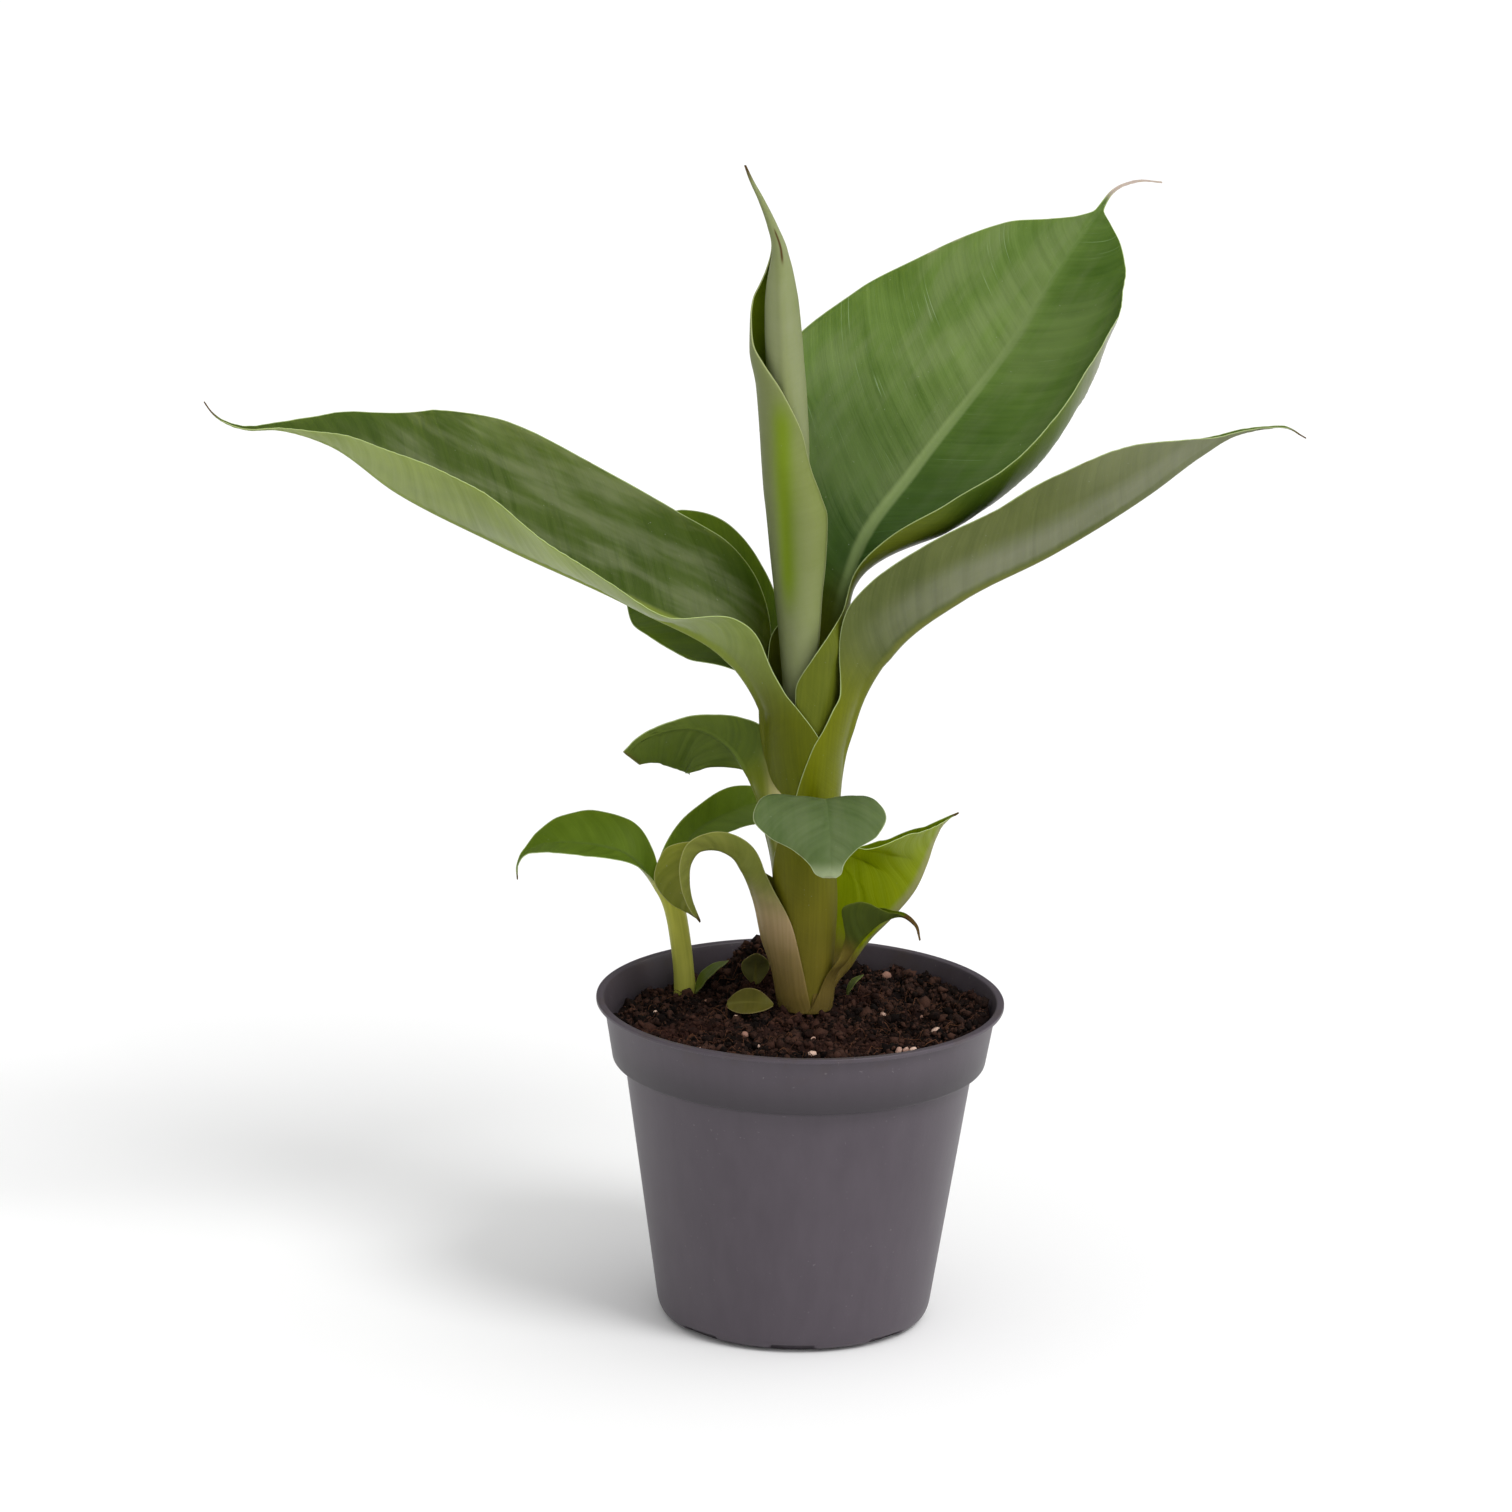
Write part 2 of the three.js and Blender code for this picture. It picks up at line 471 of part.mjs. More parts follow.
// Inner radius of the pot's wall at a height
function potInside(z) {
  const face = innerFace();
  const k = face.findIndex(([, height]) => height <= z);
  const [[r0, z0], [r1, z1]] = [face[k - 1], face[k]];
  return lerp(r1, r0, (z - z1) / (z0 - z1));
}

// Height of the soil: a gentle slope, low lumps, the mounds, and a level seat round each shoot
function soilHeight(x, y) {
  const s = SOIL;
  const lumps = Math.sin(x * 0.21 + 1.3) * Math.cos(y * 0.17) + 0.6 * Math.sin(x * 0.43 - y * 0.37);
  let z = s.level + s.slopeX * x + s.slopeY * y + s.lump * lumps;
  for (const { x: cx, y: cy, rise, spread } of MOUNDS) {
    z += rise * Math.exp(-((x - cx) ** 2 + (y - cy) ** 2) / (2 * spread ** 2));
  }
  for (const shoot of [MAIN, SUCKER]) {
    const away = Math.hypot(x - shoot.x, y - shoot.y);
    z = lerp(shoot.seat, z, smoothstep(away, shoot.seatRadius, shoot.seatRadius * 2));
  }
  return z;
}

function soilBody() {
  const { rings, sides } = SOIL;
  const bottom = POT.floor + CLEARANCE;
  const walls = [bottom, POT.footCorner + POT.step];
  const steps = [innerStep(), innerStep() + POT.step];
  const loops = walls.map((z) => ringAt(() => z, potInside(z) - SOIL.wallGap, sides));
  loops.push(...steps.map((z) => ringAt(() => z + CLEARANCE, potInside(z) - SOIL.wallGap, sides)));
  for (let k = 0; k < rings; k += 1) {
    const radius = (potInside(SOIL.level) - CLEARANCE - SOIL.edgeGap) * (1 - k / rings);
    loops.push(ringAt(soilHeight, radius, sides));
  }
  const flats = loops.map((loop) => loop.map((p) => new THREE.Vector2(p.x, p.y)));
  return loft(loops, flats);
}

function ringAt(heightAt, radius, sides) {
  return Array.from({ length: sides }, (_, i) => {
    const turn = (2 * Math.PI * i) / sides;
    const [x, y] = [radius * Math.cos(turn), radius * Math.sin(turn)];
    return new THREE.Vector3(x, y, heightAt(x, y));
  });
}

// A pointed oval leaf with a flat back, bowed along its length
function scaleLeafBody({ length, half, bow }) {
  const { thick, rim, cup, least, steps } = SCALE_SHAPE;
  const loops = [];
  const flats = [];
  for (let k = 0; k <= steps; k += 1) {
    const t = k / steps;
    const width = Math.max(half * Math.sin(Math.PI * Math.min(0.06 + 0.92 * t, 1)) ** 0.8, least);
    const rise = bow * Math.sin(Math.PI * t);
    const side = cup * width;
    const outline = [
      [-width, side], [0, -side], [width, side],
      [width, side + rim], [0, thick], [-width, side + rim],
    ];
    loops.push(outline.map(([y, z]) => new THREE.Vector3(length * t, y, z + rise)));
    flats.push(outline.map(([y, z]) => new THREE.Vector2(y, z)));
  }
  return loft(loops, flats);
}

// Scene
function finish(colour, roughness) {
  return new THREE.MeshStandardMaterial({ color: colour, roughness, metalness: 0 });
}

function part(name, body, colour, roughness = 0.55) {
  const mesh = new THREE.Mesh(geometryOf(body), finish(colour, roughness));
  mesh.name = name;
  return mesh;
}

function place(mesh, x, y, z = 0) {
  mesh.position.set(x, y, z);
  return mesh;
}

// Leaves of one shoot, each cut clear of the stem and of the leaves that were there before it
function growLeaves(shoot, stemClear, names, placed = []) {
  const taken = [stemClear, ...placed];
  for (const name of names) {
    const leaf = LEAVES[name];
    const [from, to] = leaf.span;
    let body = leafBody(leaf, from, to, leaf.steps);
    for (const other of taken) body = body.subtract(other);
    taken.push(leafBody(leaf, from, to, leaf.steps, CLEARANCE));
    shoot.add(part(name, largestPiece(body), leaf.colour));
  }
  return taken;
}

function spearLip(share) {
  const turned = (share - SPEAR_WRAP.start / 360 + 1) % 1;
  return 1 + SPEAR_WRAP.lip * (turned - 0.5);
}

function mainShoot() {
  const shoot = new THREE.Group();
  place(shoot, MAIN.x, MAIN.y);
  shoot.add(part('pseudostem', limbBody(PSEUDOSTEM, STEM_MESH), 0x7d8030));
  const wider = limbBody(PSEUDOSTEM, STEM_MESH, CLEARANCE);
  const stemClear = wider.add(wider.translate([0, 0, CLEARANCE]));
  const spear = limbBody(SPEAR, SPEAR_MESH, 0, spearLip).subtract(stemClear);
  shoot.add(part('spear_leaf', largestPiece(spear), 0x76845a));
  const spearClear = limbBody(SPEAR, SPEAR_MESH, CLEARANCE, spearLip);
  const crownLeaves = ['broad_leaf', 'back_leaf', 'right_leaf', 'left_leaf'];
  let taken = growLeaves(shoot, stemClear, crownLeaves, [spearClear]);

  const hook = LEAVES.hook_leaf;
  const ribLength = ribLine(hook.rib)[RIB_WALK.points - 1][0];
  const gap = CLEARANCE / ribLength;
  const sheath = leafBody(hook, 0, HOOK_SPLIT - gap, HOOK_STEPS.sheath).subtract(stemClear);
  const blade = leafBody(hook, HOOK_SPLIT + gap, 1, HOOK_STEPS.blade).subtract(stemClear);
  shoot.add(part('hook_leaf_sheath', largestPiece(sheath), 0x8c7a5c));
  shoot.add(part('hook_leaf_blade', largestPiece(blade), 0x6f7f4a));
  taken = taken.slice(1);
  taken.push(leafBody(hook, 0, 1, HOOK_STEPS.sheath + HOOK_STEPS.blade, CLEARANCE));
  growLeaves(shoot, stemClear, ['small_left_leaf', 'front_leaf', 'low_right_leaf', 'tiny_right_leaf'], taken);
  return shoot;
}

function suckerShoot() {
  const shoot = new THREE.Group();
  place(shoot, SUCKER.x, SUCKER.y);
  shoot.add(part('sucker_stem', limbBody(SUCKER_STEM, SUCKER_MESH), 0x8d9a3c));
  const crown = new THREE.Group();
  place(crown, CROWN.x - SUCKER.x, CROWN.y - SUCKER.y);
  const stemClear = limbBody(SUCKER_STEM, SUCKER_MESH, CLEARANCE)
    .translate([SUCKER.x - CROWN.x, SUCKER.y - CROWN.y, CLEARANCE]);
  growLeaves(crown, stemClear, ['sucker_left_leaf', 'sucker_right_leaf']);
  shoot.add(crown);
  return shoot;
}

function scaleLeaves() {
  const group = new THREE.Group();
  SCALE_LEAVES.forEach((leaf, i) => {
    const mesh = part(`scale_leaf_${i + 1}`, scaleLeafBody(leaf), 0x6f8434);
    mesh.rotation.set(0, -rad(leaf.lean), rad(leaf.heading), 'ZYX');
    group.add(place(mesh, leaf.x, leaf.y, soilHeight(leaf.x, leaf.y) + SCALE_SHAPE.lift));
  });
  return group;
}

const plant = new THREE.Group();
plant.add(part('pot', potBody(), 0x5c535b, 0.6));
plant.add(part('soil', soilBody(), 0x3a2a22, 0.95));
plant.add(mainShoot());
plant.add(suckerShoot());
plant.add(scaleLeaves());

export default plant;
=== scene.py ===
"""Looks of a young banana plant in a round nursery pot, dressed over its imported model.

Sizes are in millimetres and angles in degrees, and meshes are written in metres. The origin is the centre of
the pot's underside, +X to the right and +Y to the back. Every leaf is one surface that starts as a sheath
wrapped round its stem and opens into a stalk and a blade along its rib.
"""
from __future__ import annotations

import logging
import math
from dataclasses import dataclass, field, fields
from enum import Enum
from typing import Optional, Union

import bpy
import numpy as np
from mathutils import Matrix

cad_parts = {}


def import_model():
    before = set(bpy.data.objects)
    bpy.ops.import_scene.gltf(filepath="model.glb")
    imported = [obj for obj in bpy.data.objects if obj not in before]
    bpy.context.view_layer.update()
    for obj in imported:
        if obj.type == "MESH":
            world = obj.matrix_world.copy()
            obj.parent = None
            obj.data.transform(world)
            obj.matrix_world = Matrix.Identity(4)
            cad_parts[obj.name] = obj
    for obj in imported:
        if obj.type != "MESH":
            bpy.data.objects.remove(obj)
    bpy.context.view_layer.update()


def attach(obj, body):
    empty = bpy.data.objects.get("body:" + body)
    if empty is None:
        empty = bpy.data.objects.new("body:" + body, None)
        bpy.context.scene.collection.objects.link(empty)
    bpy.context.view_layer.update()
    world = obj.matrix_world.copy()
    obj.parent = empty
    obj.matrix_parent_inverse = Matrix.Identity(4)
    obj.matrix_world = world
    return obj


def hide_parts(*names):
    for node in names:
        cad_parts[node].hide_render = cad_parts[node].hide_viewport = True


LOG = logging.getLogger("banana_plant")
MM = 0.001
BODY = "root"
# Where the two shoots stand, and the point that the side shoot's leaves grow round
MAIN_FOOT = (1.5, 12.0)
SIDE_FOOT = (-34.0, 31.0)
SIDE_CROWN = (-39.5, 31.0)
# Millimetres to one unit of the vein coordinates, and how far apart the two halves' patterns are read
VEIN_UNIT = 100.0
HALVES_APART = 7.0
# A distance from rib or margin at which neither shows
FAR = 9.0
Rows = tuple[tuple[float, ...], ...]
Colour = tuple[float, float, float]
Source = Union[bpy.types.NodeSocket, float, tuple]


class Slot(Enum):
    """Material slot names; each piece is passed one when it is dressed."""

    POT = "pot_plastic"
    PEAT = "peat"
    SHEATH = "sheath"
    LEAF = "leaf_green"
    YOUNG = "leaf_young"


# Numbers


def smooth(low: float, high: float, value: np.ndarray) -> np.ndarray:
    """Smooth step from 0 at low to 1 at high.

    Args:
        low: where the step starts.
        high: where it ends.
        value: the numbers to read it at.

    Returns:
        The step, 3t squared less 2t cubed, of the share t that each value has gone from low to high.
    """
    t = np.clip((value - low) / (high - low), 0.0, 1.0)
    return t * t * (3.0 - 2.0 * t)


def read_rows(rows: Rows, at: np.ndarray, column: int = 1, free: bool = False) -> np.ndarray:
    """Cubic Hermite curve through rows of (key, value...).

    Args:
        rows: the knots, with rising keys.
        at: keys to read the curve at, held to the first and last row.
        column: which value to read.
        free: slopes are weighted means of the two chords, instead of harmonic means that never overshoot.

    Returns:
        The values, in the shape of at.
    """
    keys = np.array([row[0] for row in rows], float)
    values = np.array([row[column] for row in rows], float)
    at = np.asarray(at, float)
    if len(rows) == 1:
        return np.full_like(at, values[0])
    gap = np.diff(keys)
    chord = np.diff(values) / gap
    slope = np.empty_like(values)
    slope[0], slope[-1] = chord[0], chord[-1]
    before, after = chord[:-1], chord[1:]
    if free:
        slope[1:-1] = (before * gap[1:] + after * gap[:-1]) / (gap[1:] + gap[:-1])
    else:
        same = before * after > 0
        slope[1:-1] = np.where(same, 2 * before * after / np.where(same, before + after, 1.0), 0.0)
    i = np.clip(np.searchsorted(keys, at, side="right") - 1, 0, len(keys) - 2)
    x = np.clip((at - keys[i]) / gap[i], 0.0, 1.0)
    return (
        (1 + 2 * x) * (1 - x) ** 2 * values[i]
        + x * (1 - x) ** 2 * gap[i] * slope[i]
        + x * x * (3 - 2 * x) * values[i + 1]
        + x * x * (x - 1) * gap[i] * slope[i + 1]
    )


def ripple(x: np.ndarray, y: np.ndarray, wavelength: float, seed: int, waves: int = 14) -> np.ndarray:
    """Smooth random relief: a sum of cosine waves that run in random directions.

    Args:
        x: first coordinate of the points.
        y: second coordinate.
        wavelength: about how far apart the bumps are.
        seed: picks the directions and phases.
        waves: how many waves are summed.

    Returns:
        Heights of about unit spread.
    """
    rng = np.random.default_rng(seed)
    turn = rng.uniform(0, 2 * math.pi, waves)
    size = 2 * math.pi / wavelength * rng.uniform(0.6, 1.5, waves)
    phase = rng.uniform(0, 2 * math.pi, waves)
    flat = np.asarray(x, float)[..., None] * np.cos(turn) + np.asarray(y, float)[..., None] * np.sin(turn)
    return np.cos(flat * size + phase).sum(-1) * math.sqrt(2.0 / waves)


def polar(degrees: np.ndarray) -> np.ndarray:
    """Level unit vectors that point along the given azimuths."""
    a = np.radians(degrees)
    return np.stack([np.cos(a), np.sin(a), np.zeros_like(a)], -1)


def swing(first: np.ndarray, second: np.ndarray, angle: np.ndarray) -> tuple[np.ndarray, np.ndarray]:
    """Two directions turned in their own plane, the first towards the second.

    Args:
        first: the first direction or coordinate.
        second: the one a quarter turn on.
        angle: how far they turn, in radians.

    Returns:
        Both after the turn.
    """
    c, s = np.cos(angle), np.sin(angle)
    return first * c + second * s, second * c - first * s


def running(values: np.ndarray, gap: np.ndarray) -> np.ndarray:
    """Running sum across the columns: the mean of two neighbours times the gap between them, from 0."""
    steps = (values[:, 1:] + values[:, :-1]) / 2 * gap
    return np.concatenate([np.zeros((len(values), 1)), np.cumsum(steps, 1)], 1)


def window(edges: tuple[float, float, float, float], value: np.ndarray) -> np.ndarray:
    """A smooth rise between the first two edges times a smooth fall between the last two."""
    return smooth(edges[0], edges[1], value) * (1 - smooth(edges[2], edges[3], value))


# Meshes


@dataclass
class Skin:
    """A closed surface ready to become a mesh: points in millimetres, faces, and what each point carries."""

    points: np.ndarray
    faces: list[np.ndarray]
    uv: Optional[np.ndarray] = None
    marks: dict[str, np.ndarray] = field(default_factory=dict)

    def mesh(self, name: str, shade: bool = True) -> bpy.types.Object:
        """Writes the surface into a new object at the origin.

        Args:
            name: name of the object and its mesh.
            shade: whether the faces are shaded smooth.

        Returns:
            The object, linked to the scene.
        """
        data = bpy.data.meshes.new(name)
        faces = [face for block in self.faces for face in block.tolist()]
        data.from_pydata((self.points * MM).tolist(), [], faces)
        data.polygons.foreach_set("use_smooth", np.full(len(data.polygons), shade))
        if self.uv is not None:
            corner = np.empty(len(data.loops), np.int32)
            data.loops.foreach_get("vertex_index", corner)
            layer = data.uv_layers.new(name="veins")
            layer.data.foreach_set("uv", self.uv[corner].astype(np.float32).ravel())
        for mark, values in self.marks.items():
            attribute = data.attributes.new(mark, "FLOAT", "POINT")
            attribute.data.foreach_set("value", values.astype(np.float32).ravel())
        data.update()
        made = bpy.data.objects.new(name, data)
        bpy.context.scene.collection.objects.link(made)
        return made


def band_faces(rows: int, columns: int) -> np.ndarray:
    """Quads of a tube of closed loops: each row meets the next, and the last column meets the first."""
    i, j = np.meshgrid(np.arange(rows - 1), np.arange(columns), indexing="ij")
    k = (j + 1) % columns
    below, above = i * columns, (i + 1) * columns
    return np.stack([below + j, below + k, above + k, above + j], -1).reshape(-1, 4)


def end_faces(rows: int, columns: int) -> list[np.ndarray]:
    """The two faces that close a tube of loops at its first and last loop."""
    first = np.arange(columns)[None]
    return [first[:, ::-1], first + (rows - 1) * columns]


def shell(upper: np.ndarray, lower: np.ndarray, uv: np.ndarray, marks: dict[str, np.ndarray]) -> Skin:
    """A thin closed leaf between two grids that share rows and columns.

    The two grids are carried round the margins as one closed loop of columns, upper face first and lower
    face back again, and the first and last rows are closed by quads between the faces.

    Args:
        upper: points of the upper face, rows x columns x 3.
        lower: points of the lower face.
        uv: texture coordinates, rows x columns x 2, used by both faces.
        marks: values for each point of the grid, used by both faces.

    Returns:
        The closed surface, with the mark "under" at 0 on the upper face and 1 on the lower.
    """
    rows, columns = upper.shape[:2]
    around = 2 * columns

    def loop(top: np.ndarray, bottom: np.ndarray) -> np.ndarray:
        return np.concatenate([top, bottom[:, ::-1]], 1).reshape(rows * around, *top.shape[2:])

    j = np.arange(columns - 1)
    foot = np.stack([j, j + 1, around - 2 - j, around - 1 - j], -1)
    tip = foot + (rows - 1) * around
    carried = {key: loop(value, value) for key, value in marks.items()}
    carried["under"] = loop(np.zeros((rows, columns)), np.ones((rows, columns)))
    return Skin(loop(upper, lower), [band_faces(rows, around), foot[:, ::-1], tip], loop(uv, uv), carried)


def grid_normals(points: np.ndarray) -> np.ndarray:
    """Unit normals of a grid of rows along the rib and columns from left to right, on the upper side."""
    normal = np.cross(np.gradient(points, axis=1), np.gradient(points, axis=0))
    return normal / np.maximum(np.linalg.norm(normal, axis=-1, keepdims=True), 1e-9)


# Stems


@dataclass
class Stem:
    """A round shoot whose leaf sheaths nest inside each other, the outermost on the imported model's outline.

    Outline rows hold height, sideways offset and radius. Departures are the heights at which the sheaths
    leave the stem, from the outermost inwards, and parting is how far below and above each it takes. Rib rows
    hold how many ribs go round the core, their depth and their phase.
    """

    x: float
    y: float
    outline: Rows
    departures: tuple[float, ...]
    nest: float = 0.42
    parting: tuple[float, float] = (12.0, 6.0)
    ribs: Rows = ((19, 0.1, 0.0), (43, 0.05, 1.0))

    def axis(self, height: np.ndarray) -> np.ndarray:
        """Points of the shoot's axis at the given heights."""
        offset = read_rows(self.outline, height, 1, free=True)
        return np.stack([self.x + offset, np.full_like(offset, self.y), np.asarray(height, float)], -1)

    def radius(self, height: np.ndarray, layer: int) -> np.ndarray:
        """Radius of one sheath.

        Args:
            height: heights to read it at.
            layer: how many sheaths lie outside this one at the foot.

        Returns:
            The outline's radius, less one nesting step for each outer sheath that hasn't left the stem yet.
        """
        below, above = self.parting
        sunk = 0.0 * height
        for top in self.departures[:layer]:
            sunk = sunk + (1.0 - smooth(top - below, top + above, height))
        return read_rows(self.outline, height, 2) - self.nest * sunk

    def core(self, low: float, high: float, turn_count: int = 72, rows: int = 70) -> Skin:
        """The inner column behind the sheaths, a tube with fine ribs that run up it.

        Args:
            low: height of the foot.
            high: height of the top.
            turn_count: points round the column.
            rows: loops up the column.

        Returns:
            A closed tube; its radius is that of the innermost layer less one step and a tenth of a
            millimetre of ribbing.
        """
        height = np.linspace(low, high, rows)
        turn = np.linspace(0, 360, turn_count, endpoint=False)
        radius = self.radius(height, len(self.departures)) - 0.5 * self.nest
        ribs = sum(depth * np.cos(np.radians(turn) * number + phase) for number, depth, phase in self.ribs)
        reach = np.maximum(radius[:, None] + ribs[None, :], 0.5)
        points = self.axis(height)[:, None] + reach[..., None] * polar(turn)[None]
        along = np.repeat(height[:, None], turn_count, 1)
        flat = np.stack([along, np.radians(turn)[None] * reach], -1) / VEIN_UNIT
        zero = np.zeros(rows * turn_count)
        marks = {"along": zero, "edge": zero + FAR, "rib": zero + FAR, "sheath": zero + 1,
                 "under": zero + 1, "tint": zero}
        faces = [band_faces(rows, turn_count), *end_faces(rows, turn_count)]
        return Skin(points.reshape(-1, 3), faces, flat.reshape(-1, 2), marks)


# Leaves


@dataclass(frozen=True)
class Half:
    """One half of a leaf: rows of (share of the rib's length, value).

    Width is the half-width in millimetres, fold the angle at the rib, and curl how much further it turns on
    the way to the margin, as the given power of the share of the width.
    """

    width: Rows
    fold: Rows
    curl: Rows
    power: float = 1.0


@dataclass
class Leaf:
    """A leaf that grows along a rib over one azimuth, from a sheath round its stem to its tip.

    Rib rows hold reach and height. Roll, keel and sink are rows too: roll turns the blade about the rib along
    its length, keel is the rib's thickness along it, and sink is how far the sheath lies inside its layer by
    height. Wrap rows hold a height and how far each half goes round the stem there. Collar gives the shares
    of the length between which the sheath becomes the blade, pale those between which its colour ends, and
    leaves the heights between which the rib leaves the stem.
    """

    name: str
    nodes: tuple[str, ...]
    azimuth: float
    rib: Rows
    left: Half
    right: Half
    roll: Rows
    wrap: Rows
    collar: tuple[float, float]
    leaves: tuple[float, float]
    foot: float
    layer: int
    shift: tuple[float, float] = (0.0, 0.0)
    keel: Rows = ((0, 1.2), (0.3, 1.3), (0.6, 0.8), (0.9, 0.3), (1, 0.1))
    skin: float = 0.36
    wave: float = 0.5
    pleat: float = 0.09
    rows: int = 220
    columns: int = 30
    seed: int = 1
    slot: Slot = Slot.LEAF
    sink: Rows = ((0, 0.0),)
    pale: Optional[tuple[float, float]] = None
    crease: float = 0.7
    rib_turn: float = 80.0
    late: float = 0.12

    def rib_line(self) -> tuple[np.ndarray, np.ndarray, np.ndarray]:
        """The rib as a fine line.

        Returns:
            Share of the rib's length, reach and height, with shares below 0 on the straight run down to the
            sheath's foot.
        """
        rib = np.array(self.rib, float)
        knots = np.r_[0, np.cumsum(np.hypot(*np.diff(rib, axis=0).T))]
        q = np.linspace(0, knots[-1], 700)
        table = tuple((k, *row) for k, row in zip(knots, self.rib))
        reach = read_rows(table, q, 1, free=True)
        height = read_rows(table, q, 2, free=True)
        length = np.r_[0, np.cumsum(np.hypot(np.diff(reach), np.diff(height)))]
        below = (height[0] - self.foot) / length[-1]
        return (np.r_[-below - 1e-6, length / length[-1]], np.r_[reach[0], reach],
                np.r_[self.foot - 1e-4, height])

    def length(self) -> float:
        """Length of the rib above the sheath's straight run, in millimetres."""
        rib = np.array(self.rib, float)
        return float(np.hypot(*np.diff(rib, axis=0).T).sum())

    def widths(self, share: np.ndarray, half: Half) -> np.ndarray:
        """Half-widths along the rib, never under a quarter of a millimetre."""
        return np.maximum(read_rows(half.width, share), 0.25)

    def blade(self, share: np.ndarray, v: np.ndarray, half: Half, side: int) -> np.ndarray:
        """Points of the free blade by the growth rule.

        Across each half the surface turns by fold + curl x v^power, where the fold opens over the first
        millimetre from the rib, so its points are the running sums of that angle's cosine and sine times the
        half-width, laid along the leaf's side and upper directions.

        Args:
            share: share of the rib's length for each row.
            v: share of the half-width for each row and column.
            half: the half's rows.
            side: -1 for the left half and 1 for the right.

        Returns:
            Points, rows x columns x 3.
        """
        line_share, line_reach, line_height = self.rib_line()
        reach, height = (np.interp(share, line_share, part) for part in (line_reach, line_height))
        step = 2e-3
        ahead = np.minimum(share + step, 1.0)
        back = np.maximum(share - step, line_share[0])
        run, rise = (np.interp(ahead, line_share, part) - np.interp(back, line_share, part)
                     for part in (line_reach, line_height))
        size = np.hypot(run, rise)
        run, rise = (run / size)[:, None], (rise / size)[:, None]
        outward, up = polar(np.array(self.azimuth)), np.array([0.0, 0.0, 1.0])
        along = run * outward + rise * up
        face = run * up - rise * outward
        roll = np.radians(read_rows(self.roll, share))[:, None]
        across, face = swing(np.cross(along, face), face, roll)
        fold, curl = (np.radians(read_rows(rows, share))[:, None] for rows in (half.fold, half.curl))
        width = self.widths(share, half)[:, None]
        soft = 1.0 - np.exp(-v * width / self.crease)
        angle = fold * soft + curl * v**half.power
        gap = np.diff(v, axis=1)
        out, lift = running(np.cos(angle), gap), running(np.sin(angle), gap)
        centre = reach[:, None] * outward + height[:, None] * up + np.array([*self.shift, 0.0])
        return (centre[:, None] + (side * out * width)[..., None] * across[:, None]
                + (lift * width)[..., None] * face[:, None])

    def sheath(self, stem: Stem, share: np.ndarray, v: np.ndarray, side: int) -> np.ndarray:
        """Points of the sheath round the stem.

        A point lies at the rib's azimuth turned by wrap x v, on the stem's own layer, and the part near the
        rib bulges out to the rib's reach by a smooth step over rib_turn degrees.

        Args:
            stem: the shoot that carries the leaf.
            share: share of the rib's length for each row.
            v: share of the wrap for each row and column.
            side: -1 for the left half and 1 for the right.

        Returns:
            Points, rows x columns x 3.
        """
        line_share, line_reach, line_height = self.rib_line()
        height = np.interp(share, line_share, line_height)
        wrap = read_rows(self.wrap, height, 1 if side < 0 else 2)[:, None]
        ring = (stem.radius(height, self.layer) - read_rows(self.sink, height))[:, None]
        parted = smooth(*self.leaves, height)[:, None]
        home = np.array(self.shift) - stem.axis(height)[:, :2]
        lean = home @ polar(np.array(self.azimuth))[:2]
        reach = (1 - parted) * ring + parted * (np.interp(share, line_share, line_reach) + lean)[:, None]
        reach = np.maximum(reach, ring)
        turn = wrap * v
        radius = ring + (reach - ring) * (1 - smooth(0.0, self.rib_turn, turn))
        flat = radius[..., None] * polar(self.azimuth - side * turn)
        return stem.axis(height)[:, None] + flat

    def grow(self, stem: Stem, home: tuple[float, float]) -> Skin:
        """The whole leaf as one thin closed surface.

        Args:
            stem: the shoot that carries it.
            home: foot of the blade's growth rule on the ground plane.

        Returns:
            The leaf's skin with its vein coordinates and marks.
        """
        self.shift = (home[0] + self.shift[0], home[1] + self.shift[1])
        line_share, _, line_height = self.rib_line()
        share = np.linspace(line_share[0], 1.0, self.rows)
        height = np.interp(share, line_share, line_height)
        grown = smooth(*self.collar, share)[:, None]
        sides, widths, shares = [], [], []
        for side, half in ((-1, self.left), (1, self.right)):
            wrap = np.radians(read_rows(self.wrap, height, 1 if side < 0 else 2))
            tube = wrap * stem.radius(height, self.layer)
            width = (1 - grown[:, 0]) * tube + grown[:, 0] * self.widths(share, half)
            v = self.spread(width)
            points = (1 - grown)[..., None] * self.sheath(stem, share, v, side)
            sides.append(points + grown[..., None] * self.blade(share, v, half, side))
            widths.append(width)
            shares.append(v)
        points = np.concatenate([sides[0][:, :0:-1], sides[1]], 1)
        v = np.concatenate([-shares[0][:, :0:-1], shares[1]], 1)
        width = np.where(v < 0, widths[0][:, None], widths[1][:, None])
        free = np.maximum(np.minimum(grown[:, 0] * 1.2, 1.0), 0.8 * smooth(*self.leaves, height))
        skin = self.thicken(points, share, v, width, grown, free[:, None])
        start, end = self.pale or self.collar
        late = 0.0 if self.pale else self.late
        skin.marks["sheath"] = 1.0 - smooth(start, end, skin.marks["along"] - late * skin.marks["under"])
        return skin

    def spread(self, width: np.ndarray) -> np.ndarray:
        """Where the columns of one half lie, close together at the rib and even from there to the margin.

        Args:
            width: half-width of each row.

        Returns:
            Shares of the half-width, rows x columns, that rise from 0 to 1.
        """
        near = 6
        inner = np.minimum(2.6, 0.4 * width)[:, None] * np.linspace(0, 1, near + 1)[None]
        rest = np.linspace(0, 1, self.columns - near)[None, 1:]
        outer = inner[:, -1:] + (width[:, None] - inner[:, -1:]) * rest
        return np.concatenate([inner, outer], 1) / width[:, None]

